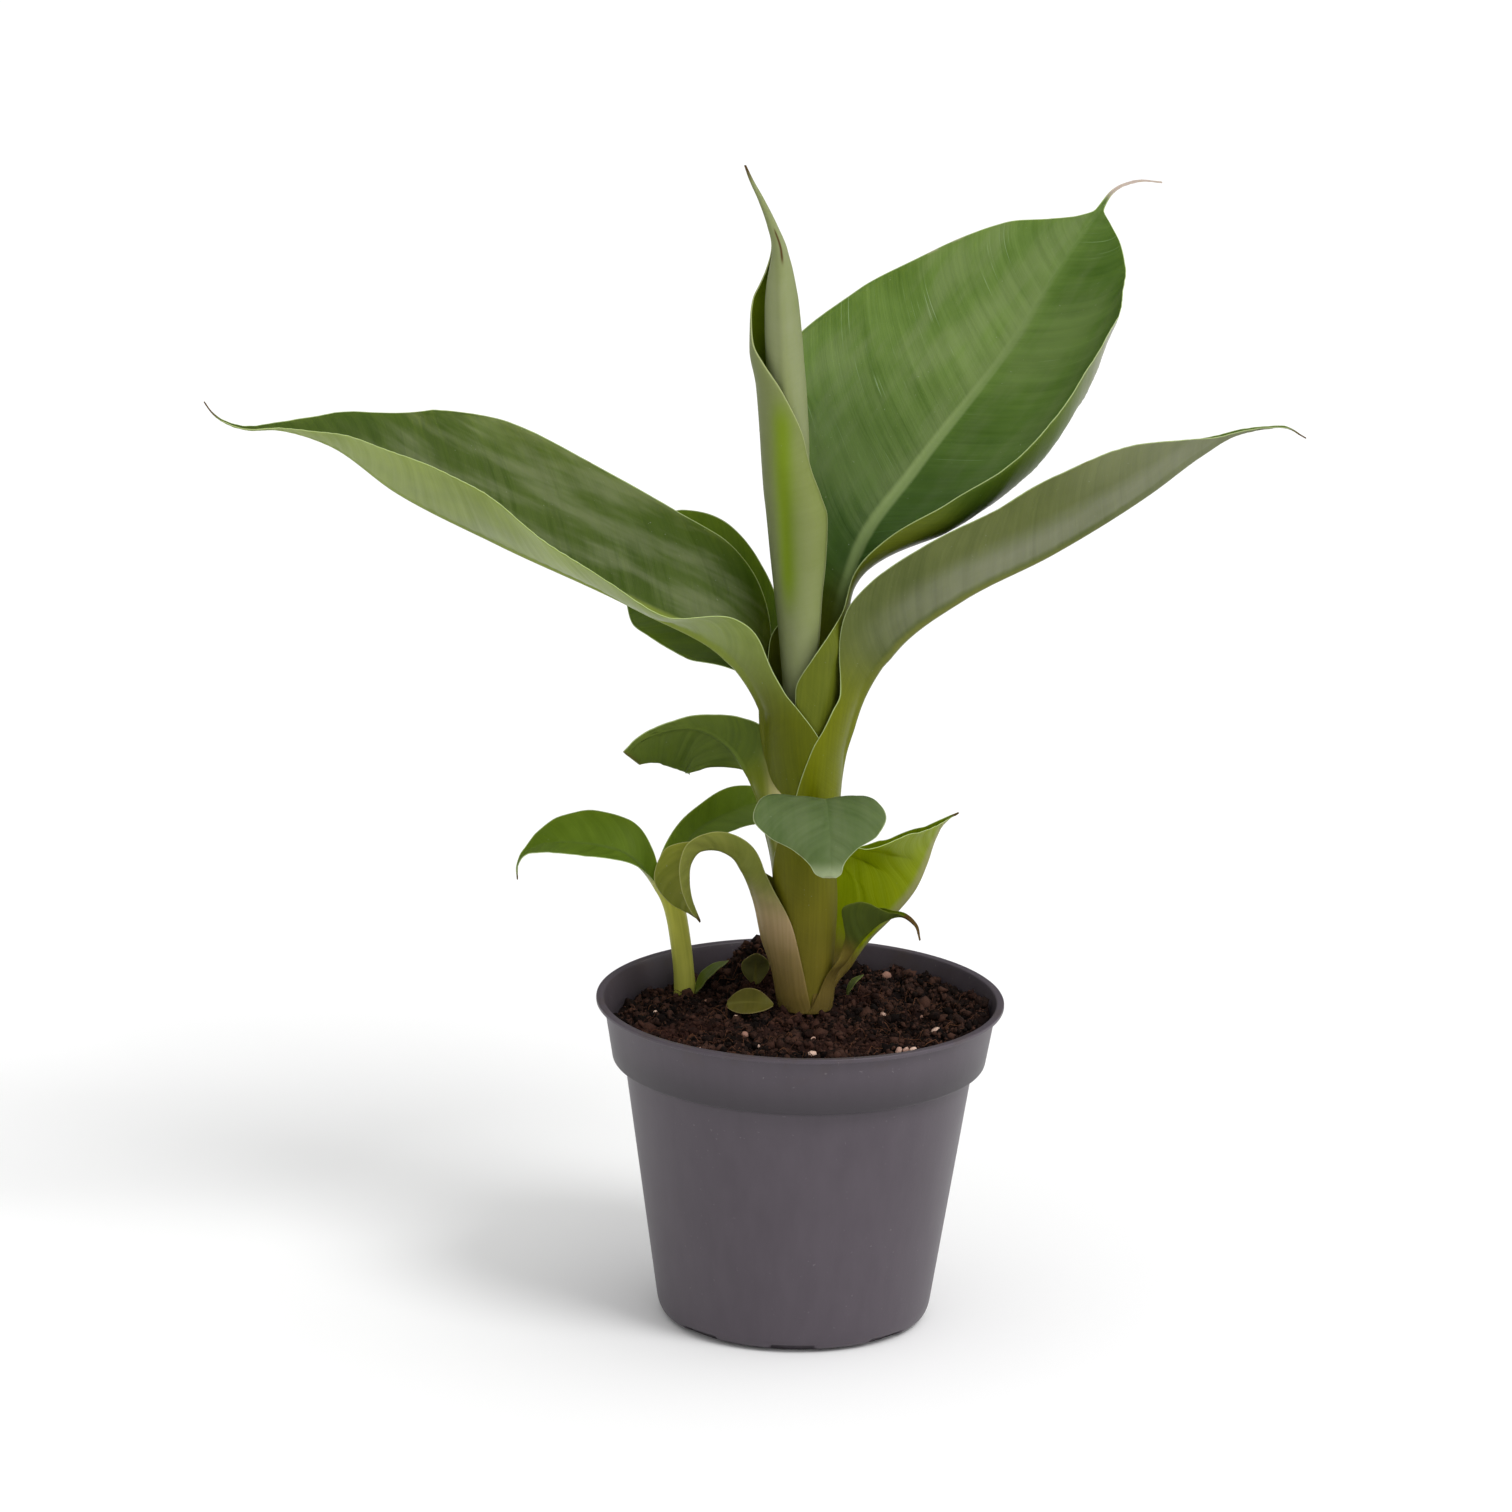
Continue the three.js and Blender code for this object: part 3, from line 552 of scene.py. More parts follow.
    def thicken(self, points: np.ndarray, share: np.ndarray, v: np.ndarray, width: np.ndarray,
                grown: np.ndarray, free: np.ndarray) -> Skin:
        """Gives the leaf its waves, pleats, keel and thickness.

        Args:
            points: the middle surface, rows x columns x 3.
            share: share of the rib's length for each row.
            v: signed share of the half-width.
            width: half-width at each point.
            grown: 0 on the sheath and 1 on the blade, for each row.
            free: how far the rib has left the stem, for each row.

        Returns:
            The closed skin. Pleats follow the side veins, which leave the rib and sweep towards the tip.
        """
        length = self.length()
        away = np.abs(v)
        distance = away * width
        vein = share[:, None] * length - distance * (0.5 + 0.28 * away**2)
        swell = ripple(vein, v * 11.0, 34.0, self.seed)
        pleats = ripple(vein, v * 1.5 + HALVES_APART * np.sign(v), 4.4, self.seed + 1)
        edge_wave = self.wave * away**2.2 * swell * np.minimum(width / 20.0, 1.0)
        fine = self.pleat * pleats * smooth(0.0, 0.12, away) * (1 - 0.5 * away)
        normal = grid_normals(points)
        points = points + normal * ((edge_wave + fine) * grown)[..., None]
        normal = grid_normals(points)
        thin = self.skin * (1 - 0.55 * away**3) * np.minimum(width / 1.5, 1.0)
        keel = read_rows(self.keel, share)[:, None] * free
        bulge = keel * np.exp(-((distance / (0.55 * keel + 0.35)) ** 2))
        upper = points + normal * (thin / 2 - 0.18 * bulge)[..., None]
        lower = points - normal * (thin / 2 + bulge)[..., None]
        uv = np.stack([vein + HALVES_APART * (v < 0), distance * np.sign(v)], -1) / VEIN_UNIT
        marks = {
            "along": np.broadcast_to(share[:, None], v.shape),
            "edge": np.minimum((1 - away) * width, ((1 - share) * length)[:, None]),
            "rib": distance,
            "tint": np.zeros_like(v),
        }
        return shell(upper, lower, uv, marks)


@dataclass
class Spear:
    """The furled youngest leaf: one sheet rolled up round its rib, its outer half wrapped over the front.

    Rows hold height, centre across, radius of the inner roll, radius of the outer half on the left and at
    its margin, and how far the outer half wraps from the rib. Band and slit are a pale and a dry stripe: the
    turn from the rib that each lies at and its spread, and the heights between which it comes and goes.
    """

    y: float = 12.0
    rib_azimuth: float = 270.0
    inner_turn: float = 500.0
    form: Rows = (
        (150, 0.2, 2.6, 3.0, 3.2, 250), (166, -1.0, 3.5, 4.0, 4.2, 300), (185, -2.3, 3.9, 4.4, 4.8, 385),
        (190, -2.6, 4.0, 4.5, 5.2, 400), (204, -3.7, 4.4, 4.8, 8.0, 418), (217, -4.5, 4.9, 5.6, 9.3, 421),
        (229, -5.1, 5.3, 6.5, 11.0, 421), (242, -5.9, 5.6, 7.2, 12.0, 421), (248, -6.3, 5.7, 7.6, 10.6, 418),
        (255.5, -6.8, 5.7, 7.8, 8.6, 410), (263, -7.1, 5.7, 8.1, 7.3, 402), (278, -8.1, 5.6, 8.5, 7.6, 358),
        (288, -9.0, 5.4, 9.0, 8.9, 317), (293, -9.4, 5.3, 9.2, 9.2, 290), (300, -9.9, 5.0, 8.9, 8.9, 278),
        (305, -10.2, 4.7, 8.1, 8.1, 270), (310, -10.4, 4.1, 5.8, 5.8, 262), (314, -10.5, 3.4, 4.2, 4.2, 256),
        (320, -10.9, 2.2, 2.5, 2.5, 250), (327, -13.1, 1.5, 1.6, 1.6, 240), (335, -16.6, 0.9, 1.0, 1.0, 230),
        (341, -19.7, 0.55, 0.6, 0.6, 220), (345, -21.4, 0.3, 0.35, 0.35, 220),
    )
    band: tuple[float, float] = (346.0, 29.0)
    band_depth: float = 0.8
    band_run: tuple[float, float, float, float] = (205.0, 225.0, 268.0, 284.0)
    slit: tuple[float, float] = (12.0, 9.0)
    slit_run: tuple[float, float, float, float] = (315.0, 319.0, 325.0, 328.0)
    skin: float = 0.38
    rows: int = 230
    columns: int = 116

    def stripe(self, turn: np.ndarray, middle: float, spread: float) -> np.ndarray:
        """A bell over the turn from the rib: 1 at its middle, and 1/e one spread away."""
        return np.exp(-(((turn - middle) / spread) ** 2))

    def grow(self) -> Skin:
        """The rolled sheet.

        Returns:
            A closed skin. Its cross-section is a spiral about the roll's centre: from the rib the inner half
            turns one way with its radius falling as the power 1.5 of the turn, and the outer half turns the
            other way, swells to the left, hugs the front and flares at its free margin.
        """
        height = np.linspace(self.form[0][0], self.form[-1][0], self.rows)
        centre, inner, left, margin, wrap = (
            read_rows(self.form, height, column)[:, None] for column in range(1, 6))
        half = self.columns // 2
        outer_turn = wrap * np.linspace(1, 0, half)[None]
        inner_share = np.linspace(0, 1, self.columns - half + 1)[None, 1:]
        inner_turn = np.broadcast_to(self.inner_turn * inner_share, (self.rows, self.columns - half))
        front = inner + np.minimum(1.0, 0.3 * inner)

        def base(turn: np.ndarray) -> np.ndarray:
            swollen = inner + (left - inner) * smooth(60, 270, turn)
            return swollen - (left - front) * smooth(270, 360, turn)

        last = np.minimum(wrap, 500)
        flare = (margin - base(last)) * smooth(0, 1, (outer_turn - last + 85) / 85)
        outer_radius = base(outer_turn) + flare
        inner_radius = inner * (1 - 0.28 * (inner_turn / 270.0) ** 1.5)
        turn = np.concatenate([outer_turn, -inner_turn], 1)
        radius = np.concatenate([outer_radius, np.maximum(inner_radius, 0.12 * inner)], 1)
        direction = polar(self.rib_azimuth + turn)
        points = radius[..., None] * direction
        points[..., 0] += centre
        points[..., 1] += self.y
        points[..., 2] += height[:, None]
        normal = grid_normals(points)
        step = np.linalg.norm(np.diff(points, axis=1), axis=-1)
        walked = np.concatenate([np.zeros((self.rows, 1)), np.cumsum(step, 1)], 1)
        rib = np.abs(walked - walked[:, half - 1: half])
        edge = np.minimum(walked, walked[:, -1:] - walked)
        thin = self.skin * np.minimum(inner / 3.0, 1.0)
        keel = 0.45 * np.minimum(inner / 4.0, 1.0) * np.exp(-((rib / 1.1) ** 2))
        upper = points + normal * (thin / 2)[..., None]
        lower = points - normal * (thin / 2 + keel)[..., None]
        vein = height[:, None] - rib * 0.35
        band = self.band_depth * self.stripe(turn, *self.band) * window(self.band_run, height)[:, None]
        slit = self.stripe(turn, *self.slit) * window(self.slit_run, height)[:, None]
        uv = np.stack([vein, rib * np.sign(turn)], -1) / VEIN_UNIT
        marks = {
            "along": np.broadcast_to(((height - height[0]) / np.ptp(height))[:, None], turn.shape),
            "edge": edge,
            "rib": rib,
            "sheath": np.zeros_like(turn),
            "tint": band - slit,
        }
        return shell(upper, lower, uv, marks)


@dataclass(frozen=True)
class ScaleLeaf:
    """A short leaf on the soil: foot, heading, lean, length, half-width, bow and turn about its own rib.

    Lift and clearance raise it off the soil, cup bends it across its width, and relief waves it.
    """

    name: str
    x: float
    y: float
    heading: float
    lean: float
    length: float
    half: float
    bow: float
    lift: float = 0.6
    cant: float = 0.0
    clearance: float = 0.3
    cup: float = 0.22
    relief: float = 0.1
    skin: float = 0.5
    keel: float = 0.35
    dull: bool = False
    slot: Slot = Slot.LEAF

    def grow(self, ground: float) -> Skin:
        """The leaf as a thin closed sheet.

        Args:
            ground: height of the soil under its foot.

        Returns:
            A skin whose half-width is a power of a sine along its length, bowed upwards along it and cupped
            across it, then leaned and turned to its heading.
        """
        rows, columns = 60, 31
        t = np.linspace(0, 1, rows)[:, None]
        v = np.linspace(-1, 1, columns)[None]
        width = np.maximum(self.half * np.sin(np.pi * np.minimum(0.06 + 0.92 * t, 1.0)) ** 0.8, 0.25)
        out = self.length * t + 0 * v
        side = width * v
        rise = (self.bow * np.sin(np.pi * t) + self.cup * width * v**2
                + self.relief * ripple(out, side, 5.0, 3))
        lean, turn, cant = (math.radians(value) for value in (self.lean, self.heading, self.cant))
        side, rise = swing(side, rise, cant)
        level = out * math.cos(lean) - rise * math.sin(lean)
        high = out * math.sin(lean) + rise * math.cos(lean)
        points = np.stack([
            self.x + level * math.cos(turn) + side * math.sin(turn),
            self.y + level * math.sin(turn) - side * math.cos(turn),
            ground + self.lift + self.clearance + high,
        ], -1)
        normal = grid_normals(points)
        thin = (self.skin * (1 - 0.6 * np.abs(v) ** 3) * np.minimum(width / 1.5, 1.0))[..., None]
        bulge = (self.keel * np.exp(-((width * v / 0.7) ** 2)) * (1 - t))[..., None]
        uv = np.stack([out, width * v], -1) / VEIN_UNIT
        marks = {"along": t * 0.9 + 0 * v, "edge": (1 - np.abs(v)) * width, "rib": width * np.abs(v),
                 "sheath": 0 * side, "tint": 0 * side}
        return shell(points + normal * thin / 2, points - normal * (thin / 2 + bulge), uv, marks)


# Pot and soil


@dataclass
class Pot:
    """A round nursery pot with a banded rim, a deep collar, a tapered body and notches across its foot.

    It stands on a ring round a slightly raised middle. The inner face steps in above the collar's underside.
    """

    height: float = 97.0
    rim_radius: float = 60.0
    rim_inner: float = 57.8
    rim_band: float = 1.3
    collar_radius: float = 57.8
    collar_foot: float = 54.8
    collar_height: float = 18.6
    body_radius: float = 51.4
    foot_radius: float = 40.2
    foot_corner: float = 4.0
    contact_radius: float = 35.5
    wall: float = 1.2
    floor: float = 1.6
    notch_count: int = 8
    notch_width: float = 13.6
    notch_height: float = 2.5
    notch_depth: float = 7.0
    ring_width: float = 4.0
    ring_slope: float = 0.6
    ring_rise: float = 0.8
    chamfer: float = 1.2
    chamfer_rise: float = 1.4
    lip_ease: float = 0.6
    step: float = 1.0
    floor_round: float = 4.0
    sides: int = 320

    def inner_step(self) -> float:
        """Height of the inner face's step, a wall's thickness above the collar's underside."""
        return self.height - self.collar_height + self.wall

    def inside(self, height: float) -> float:
        """Inner radius of the wall at a height above the inner step."""
        low = self.inner_step() + self.step
        top = self.height - self.rim_band - self.step
        share = min(max((height - low) / (top - low), 0.0), 1.0)
        return (self.collar_foot - self.wall) * (1 - share) + (self.rim_inner - self.lip_ease) * share

    def corners(self) -> list[tuple[float, float, float]]:
        """Corners of the wall's profile from the underside out and back in: radius, height and rounding."""
        under = self.height - self.collar_height
        band = self.height - self.rim_band
        ring = self.contact_radius - self.ring_width
        return [
            (0.0, self.ring_rise, 0.0), (ring, self.ring_rise, 0.3), (ring + self.ring_slope, 0.0, 0.3),
            (self.contact_radius, 0.0, 0.3), (self.foot_radius - self.chamfer, self.chamfer_rise, 1.0),
            (self.foot_radius, self.foot_corner, 2.0), (self.body_radius, under, 0.6),
            (self.collar_foot, under, 0.9), (self.collar_radius, band, 0.35),
            (self.rim_radius, band, 0.35), (self.rim_radius, self.height, 0.55),
            (self.rim_inner, self.height, 0.6), (self.rim_inner - self.lip_ease, band - self.step, 0.5),
            (self.collar_foot - self.wall, self.inner_step() + self.step, 0.6),
            (self.body_radius - self.wall, self.inner_step(), 0.6),
            (self.foot_radius - self.wall, self.foot_corner + self.step, 1.5),
            (self.foot_radius - self.floor_round, self.floor, 1.0), (0.0, self.floor, 0.0),
        ]

    def profile(self) -> np.ndarray:
        """The rounded profile.

        Returns:
            Points (radius, height). Each corner is cut back along both legs by its rounding and replaced by
            a quadratic curve, and long legs are divided evenly.
        """
        corners = self.corners()
        points: list[np.ndarray] = []
        for i, (radius, height, bend) in enumerate(corners):
            here = np.array([radius, height])
            if bend == 0.0:
                points.append(here)
                continue
            before = np.array(corners[i - 1][:2]) - here
            after = np.array(corners[i + 1][:2]) - here
            cut = [leg / np.linalg.norm(leg) * min(bend, 0.45 * float(np.linalg.norm(leg)))
                   for leg in (before, after)]
            for t in np.linspace(0, 1, 5):
                points.append(here + (1 - t) ** 2 * cut[0] + t**2 * cut[1])
        spans = []
        for start, end in zip(points[:-1], points[1:]):
            count = max(1, int(np.linalg.norm(end - start) / 4.0))
            spans.append(start + (end - start) * np.linspace(0, 1, count, endpoint=False)[:, None])
        return np.concatenate([*spans, points[-1][None]])

    def turn(self) -> Skin:
        """The pot as a surface of revolution.

        Returns:
            A closed skin. The foot's corner is lifted to the notch height wherever the angle lies within
            half a notch of one of the evenly spaced notches and the radius within its depth.
        """
        profile = self.profile()
        angle = np.linspace(0, 2 * math.pi, self.sides, endpoint=False)
        radius = np.broadcast_to(profile[1:-1, :1], (len(profile) - 2, self.sides))
        height = np.array(np.broadcast_to(profile[1:-1, 1:], radius.shape))
        pitch = 2 * math.pi / self.notch_count
        offset = np.abs((angle + pitch / 2) % pitch - pitch / 2) * self.foot_radius
        across = 1 - smooth(self.notch_width / 2 - 0.5, self.notch_width / 2 + 0.5, offset)[None]
        bottom = self.foot_radius - self.notch_depth / 2
        deep = smooth(bottom - 0.4, bottom, radius)
        outer = np.arange(len(profile) - 2)[:, None] < len(profile) // 2
        height = np.where(outer, np.maximum(height, self.notch_height * across * deep), height)
        points = np.stack([radius * np.cos(angle), radius * np.sin(angle), height], -1)
        rows = len(points)
        poles = np.array([[0, 0, profile[0, 1]], [0, 0, profile[-1, 1]]])
        count = rows * self.sides
        j = np.arange(self.sides)
        k = (j + 1) % self.sides
        first = np.stack([np.full_like(j, count), k, j], -1)
        start = count - self.sides
        last = np.stack([np.full_like(j, count + 1), start + j, start + k], -1)
        faces = [band_faces(rows, self.sides), first, last]
        return Skin(np.concatenate([points.reshape(-1, 3), poles]), faces)


@dataclass
class Soil:
    """Crumbly peat in the pot: a lumpy top, crumbs, root fibres and a few pale granules.

    Seats hold where each shoot stands, the level round it and that level's reach, and clear is how far
    crumbs keep from each shoot. Heap and hollow are centre, rise and spread. Relief rows are wavelength,
    depth, seed and number of waves.
    """

    level: float = 90.7
    slope_x: float = 0.05
    slope_y: float = -0.03
    lump: float = 0.8
    seats: Rows = ((*MAIN_FOOT, 90.0, 12.5), (*SIDE_FOOT, 88.0, 5.0))
    clear: tuple[float, float] = (10.5, 4.0)
    heap: tuple[float, float, float, float] = (-13.0, 44.0, 12.0, 6.4)
    hollow: tuple[float, float, float, float] = (41.0, 15.0, -4.0, 6.5)
    relief: Rows = ((9.0, 0.9, 5, 14), (3.6, 0.55, 6, 20), (1.7, 0.3, 7, 24))
    relief_depth: float = 0.75
    relief_sink: float = 0.3
    edge_gap: float = 0.35
    wall_gap: float = 0.4
    step_gap: float = 0.3
    crumb_count: int = 9500
    fibre_count: int = 520
    granule_count: int = 46

    def height(self, x: np.ndarray, y: np.ndarray) -> np.ndarray:
        """Height of the soil: a slope with low lumps, a heap and a hollow, and a level seat round each shoot.

        Args:
            x: points across.
            y: points to the back.

        Returns:
            Heights in millimetres.
        """
        lumps = np.sin(x * 0.21 + 1.3) * np.cos(y * 0.17) + 0.6 * np.sin(x * 0.43 - y * 0.37)
        z = self.level + self.slope_x * x + self.slope_y * y + self.lump * lumps
        for cx, cy, rise, size in (self.heap, self.hollow):
            z = z + rise * np.exp(-((x - cx) ** 2 + (y - cy) ** 2) / (2 * size**2))
        for cx, cy, seat, size in self.seats:
            away = smooth(size, 2 * size, np.hypot(x - cx, y - cy))
            z = seat * (1 - away) + z * away
        return z

    def crust(self, x: np.ndarray, y: np.ndarray) -> np.ndarray:
        """Height of the crumbly surface: the soil's height with three scales of relief added."""
        rough = sum(depth * ripple(x, y, size, seed, waves) for size, depth, seed, waves in self.relief)
        return self.height(x, y) + rough * self.relief_depth - self.relief_sink

    def top(self, pot: Pot) -> Skin:
        """The soil's body: a closed drum with the crumbly surface on top.

        Args:
            pot: the pot that holds it.

        Returns:
            Rings from the centre out to the wall and down inside it, closed by a ring's worth of floor.
        """
        rings, sides = 110, 300
        angle = np.linspace(0, 2 * math.pi, sides, endpoint=False)
        edge = pot.inside(self.level) - self.edge_gap
        radius = edge * np.linspace(0.004, 1, rings)[:, None] + 0 * angle
        x, y = radius * np.cos(angle), radius * np.sin(angle)
        low = pot.inner_step() + pot.step + self.step_gap
        under = np.stack([x[-1], y[-1]], -1) * (pot.inside(low) - self.wall_gap) / edge
        under = np.concatenate([under, np.full((sides, 1), low)], 1)
        points = np.concatenate([np.stack([x, y, self.crust(x, y)], -1), under[None]])
        faces = [block[:, ::-1] for block in (band_faces(rings + 1, sides), *end_faces(rings + 1, sides))]
        tone = 0.5 + 0.25 * ripple(points[..., 0], points[..., 1], 12.0, 8)
        return Skin(points.reshape(-1, 3), faces, None, {"tone": tone.ravel()})

    def scatter(self, count: int, rng: np.random.Generator, pot: Pot,
                margin: float) -> tuple[np.ndarray, np.ndarray]:
        """Random places on the soil, clear of both stems.

        Args:
            count: how many places.
            rng: the seeded source of chance.
            pot: the pot that holds the soil.
            margin: least distance from the wall.

        Returns:
            Their x and y.
        """
        angle = rng.uniform(0, 2 * math.pi, count * 2)
        radius = (pot.inside(self.level) - margin) * np.sqrt(rng.uniform(0, 1, count * 2))
        x, y = radius * np.cos(angle), radius * np.sin(angle)
        kept = np.full(len(x), True)
        for (foot_x, foot_y), least in zip((MAIN_FOOT, SIDE_FOOT), self.clear):
            kept &= np.hypot(x - foot_x, y - foot_y) > least
        return x[kept][:count], y[kept][:count]

    def crumbs(self, pot: Pot) -> Skin:
        """Crumbs of peat: small uneven blobs that lie on the surface.

        Args:
            pot: the pot that holds them.

        Returns:
            All crumbs as one skin: an icosahedron for each, its corners pushed in and out at random,
            stretched along a random direction and laid where it falls.
        """
        rng = np.random.default_rng(11)
        x, y = self.scatter(self.crumb_count, rng, pot, 1.6)
        size = np.clip(rng.lognormal(-0.72, 0.5, len(x)), 0.22, 1.9)
        return blobs(x, y, self.crust(x, y) + 0.2 * size, size, rng, 0.5)

    def granules(self, pot: Pot) -> Skin:
        """Pale mineral granules, mostly near the front and the right: rounder and smoother blobs."""
        rng = np.random.default_rng(23)
        x, y = self.scatter(self.granule_count, rng, pot, 3.5)
        lean = rng.uniform(0, 1, len(x)) < 0.45 + 0.5 * smooth(-10, 40, x - 0.6 * y)
        x, y = x[lean], y[lean]
        size = rng.uniform(0.6, 1.5, len(x))
        return blobs(x, y, self.crust(x, y) + 0.7 * size, size, rng, 0.12, True)

    def fibres(self, pot: Pot) -> Skin:
        """Root fibres: thin bent three-sided strands that lie on and poke out of the peat.

        Args:
            pot: the pot that holds them.

        Returns:
            All strands as one skin: each runs along a random heading with a random bend and a low arch.
        """
        rng = np.random.default_rng(31)
        x, y = self.scatter(self.fibre_count, rng, pot, 5.0)
        count, steps = len(x), 7
        t = np.linspace(0, 1, steps)[None, :]
        length = rng.uniform(2.5, 9.0, count)[:, None]
        heading = rng.uniform(0, 2 * math.pi, count)[:, None] + rng.uniform(-1.6, 1.6, count)[:, None] * t
        px = x[:, None] + np.cumsum(np.cos(heading), 1) * length / steps
        py = y[:, None] + np.cumsum(np.sin(heading), 1) * length / steps
        inside = np.hypot(px, py)
        limit = pot.inside(self.level) - 1.5
        shrink = np.minimum(1.0, limit / np.maximum(inside, 1e-6))
        px, py = px * shrink, py * shrink
        arch = rng.uniform(0.0, 1.6, count)[:, None] * np.sin(np.pi * t)
        pz = self.crust(px, py) + 0.25 + arch + rng.uniform(0, 1.2, count)[:, None] * t
        centre = np.stack([px, py, pz], -1)
        thick = rng.uniform(0.06, 0.14, count)[:, None, None, None] * (1 - 0.5 * t)[..., None, None]
        along = np.gradient(centre, axis=1)
        along /= np.linalg.norm(along, axis=-1, keepdims=True)
        side = np.cross(along, np.array([0.0, 0.0, 1.0]))
        side /= np.maximum(np.linalg.norm(side, axis=-1, keepdims=True), 1e-6)
        over = np.cross(side, along)
        turn = np.radians([90.0, 210.0, 330.0])
        ring = (np.cos(turn)[:, None] * side[:, :, None] + np.sin(turn)[:, None] * over[:, :, None])
        points = (centre[:, :, None] + ring * thick).reshape(-1, 3)
        first = (np.arange(count) * steps * 3)[:, None, None]
        faces = (first + band_faces(steps, 3)[None]).reshape(-1, 4)
        cap = first[:, 0]
        ends = [cap + np.array([[2, 1, 0]]), cap + (steps - 1) * 3 + np.array([[0, 1, 2]])]
        tone = np.repeat(rng.uniform(0, 1, count), steps * 3)
        return Skin(points, [faces, *ends], None, {"tone": tone})


def blobs(x: np.ndarray, y: np.ndarray, z: np.ndarray, size: np.ndarray, rng: np.random.Generator,
          rough: float, fine: bool = False) -> Skin:
    """Many small uneven blobs as one surface.

    Args:
        x: their places across.
        y: their places to the back.
        z: their heights.
        size: their radii.
        rng: the seeded source of chance.
        rough: how far corners are pushed in and out, as a share of the radius.
        fine: whether each blob is divided once for a rounder look.

    Returns:
        A skin with one random tone for each blob.
    """
    gold = (1 + math.sqrt(5)) / 2
    corners = [(-1, gold, 0), (1, gold, 0), (-1, -gold, 0), (1, -gold, 0), (0, -1, gold), (0, 1, gold),
               (0, -1, -gold), (0, 1, -gold), (gold, 0, -1), (gold, 0, 1), (-gold, 0, -1), (-gold, 0, 1)]
    base = np.array(corners, float) / math.sqrt(1 + gold**2)
    faces = np.array([(0, 11, 5), (0, 5, 1), (0, 1, 7), (0, 7, 10), (0, 10, 11), (1, 5, 9), (5, 11, 4),
                      (11, 10, 2), (10, 7, 6), (7, 1, 8), (3, 9, 4), (3, 4, 2), (3, 2, 6), (3, 6, 8),
                      (3, 8, 9), (4, 9, 5), (2, 4, 11), (6, 2, 10), (8, 6, 7), (9, 8, 1)])
    if fine:
        base, faces = divide(base, faces)
    count = len(x)
    jitter = 1 + rough * rng.uniform(-1, 1, (count, len(base), 1))
    stretch = rng.uniform(0.6, 1.35, (count, 1, 3))
    spin = rng.normal(size=(count, 3, 3))
    spin = np.linalg.qr(spin)[0]
    spin[np.linalg.det(spin) < 0] *= -1
    shape = np.einsum("nij,nkj->nki", spin, base[None] * jitter * stretch) * size[:, None, None]
    points = shape + np.stack([x, y, z], -1)[:, None]
    all_faces = (np.arange(count) * len(base))[:, None, None] + faces[None]
    tone = np.repeat(rng.uniform(0, 1, count), len(base))
    return Skin(points.reshape(-1, 3), [all_faces.reshape(-1, 3)], None, {"tone": tone})


def divide(points: np.ndarray, faces: np.ndarray) -> tuple[np.ndarray, np.ndarray]:
    """Splits each triangle of a unit ball in four and pushes the new points out to the ball.

    Args:
        points: corners on the unit ball.
        faces: triangles.

    Returns:
        The finer points and triangles.
    """
    sides = np.sort(faces[:, [0, 1, 1, 2, 2, 0]].reshape(-1, 2), 1)
    unique, back = np.unique(sides, axis=0, return_inverse=True)
    middle = points[unique].mean(1)
    middle /= np.linalg.norm(middle, axis=1, keepdims=True)
    ab, bc, ca = (len(points) + back.reshape(-1, 3)).T
    a, b, c = faces.T
    finer = np.concatenate([np.stack(t, -1) for t in ((a, ab, ca), (ab, b, bc), (ca, bc, c), (ab, bc, ca))])
    return np.concatenate([points, middle]), finer


# Materials


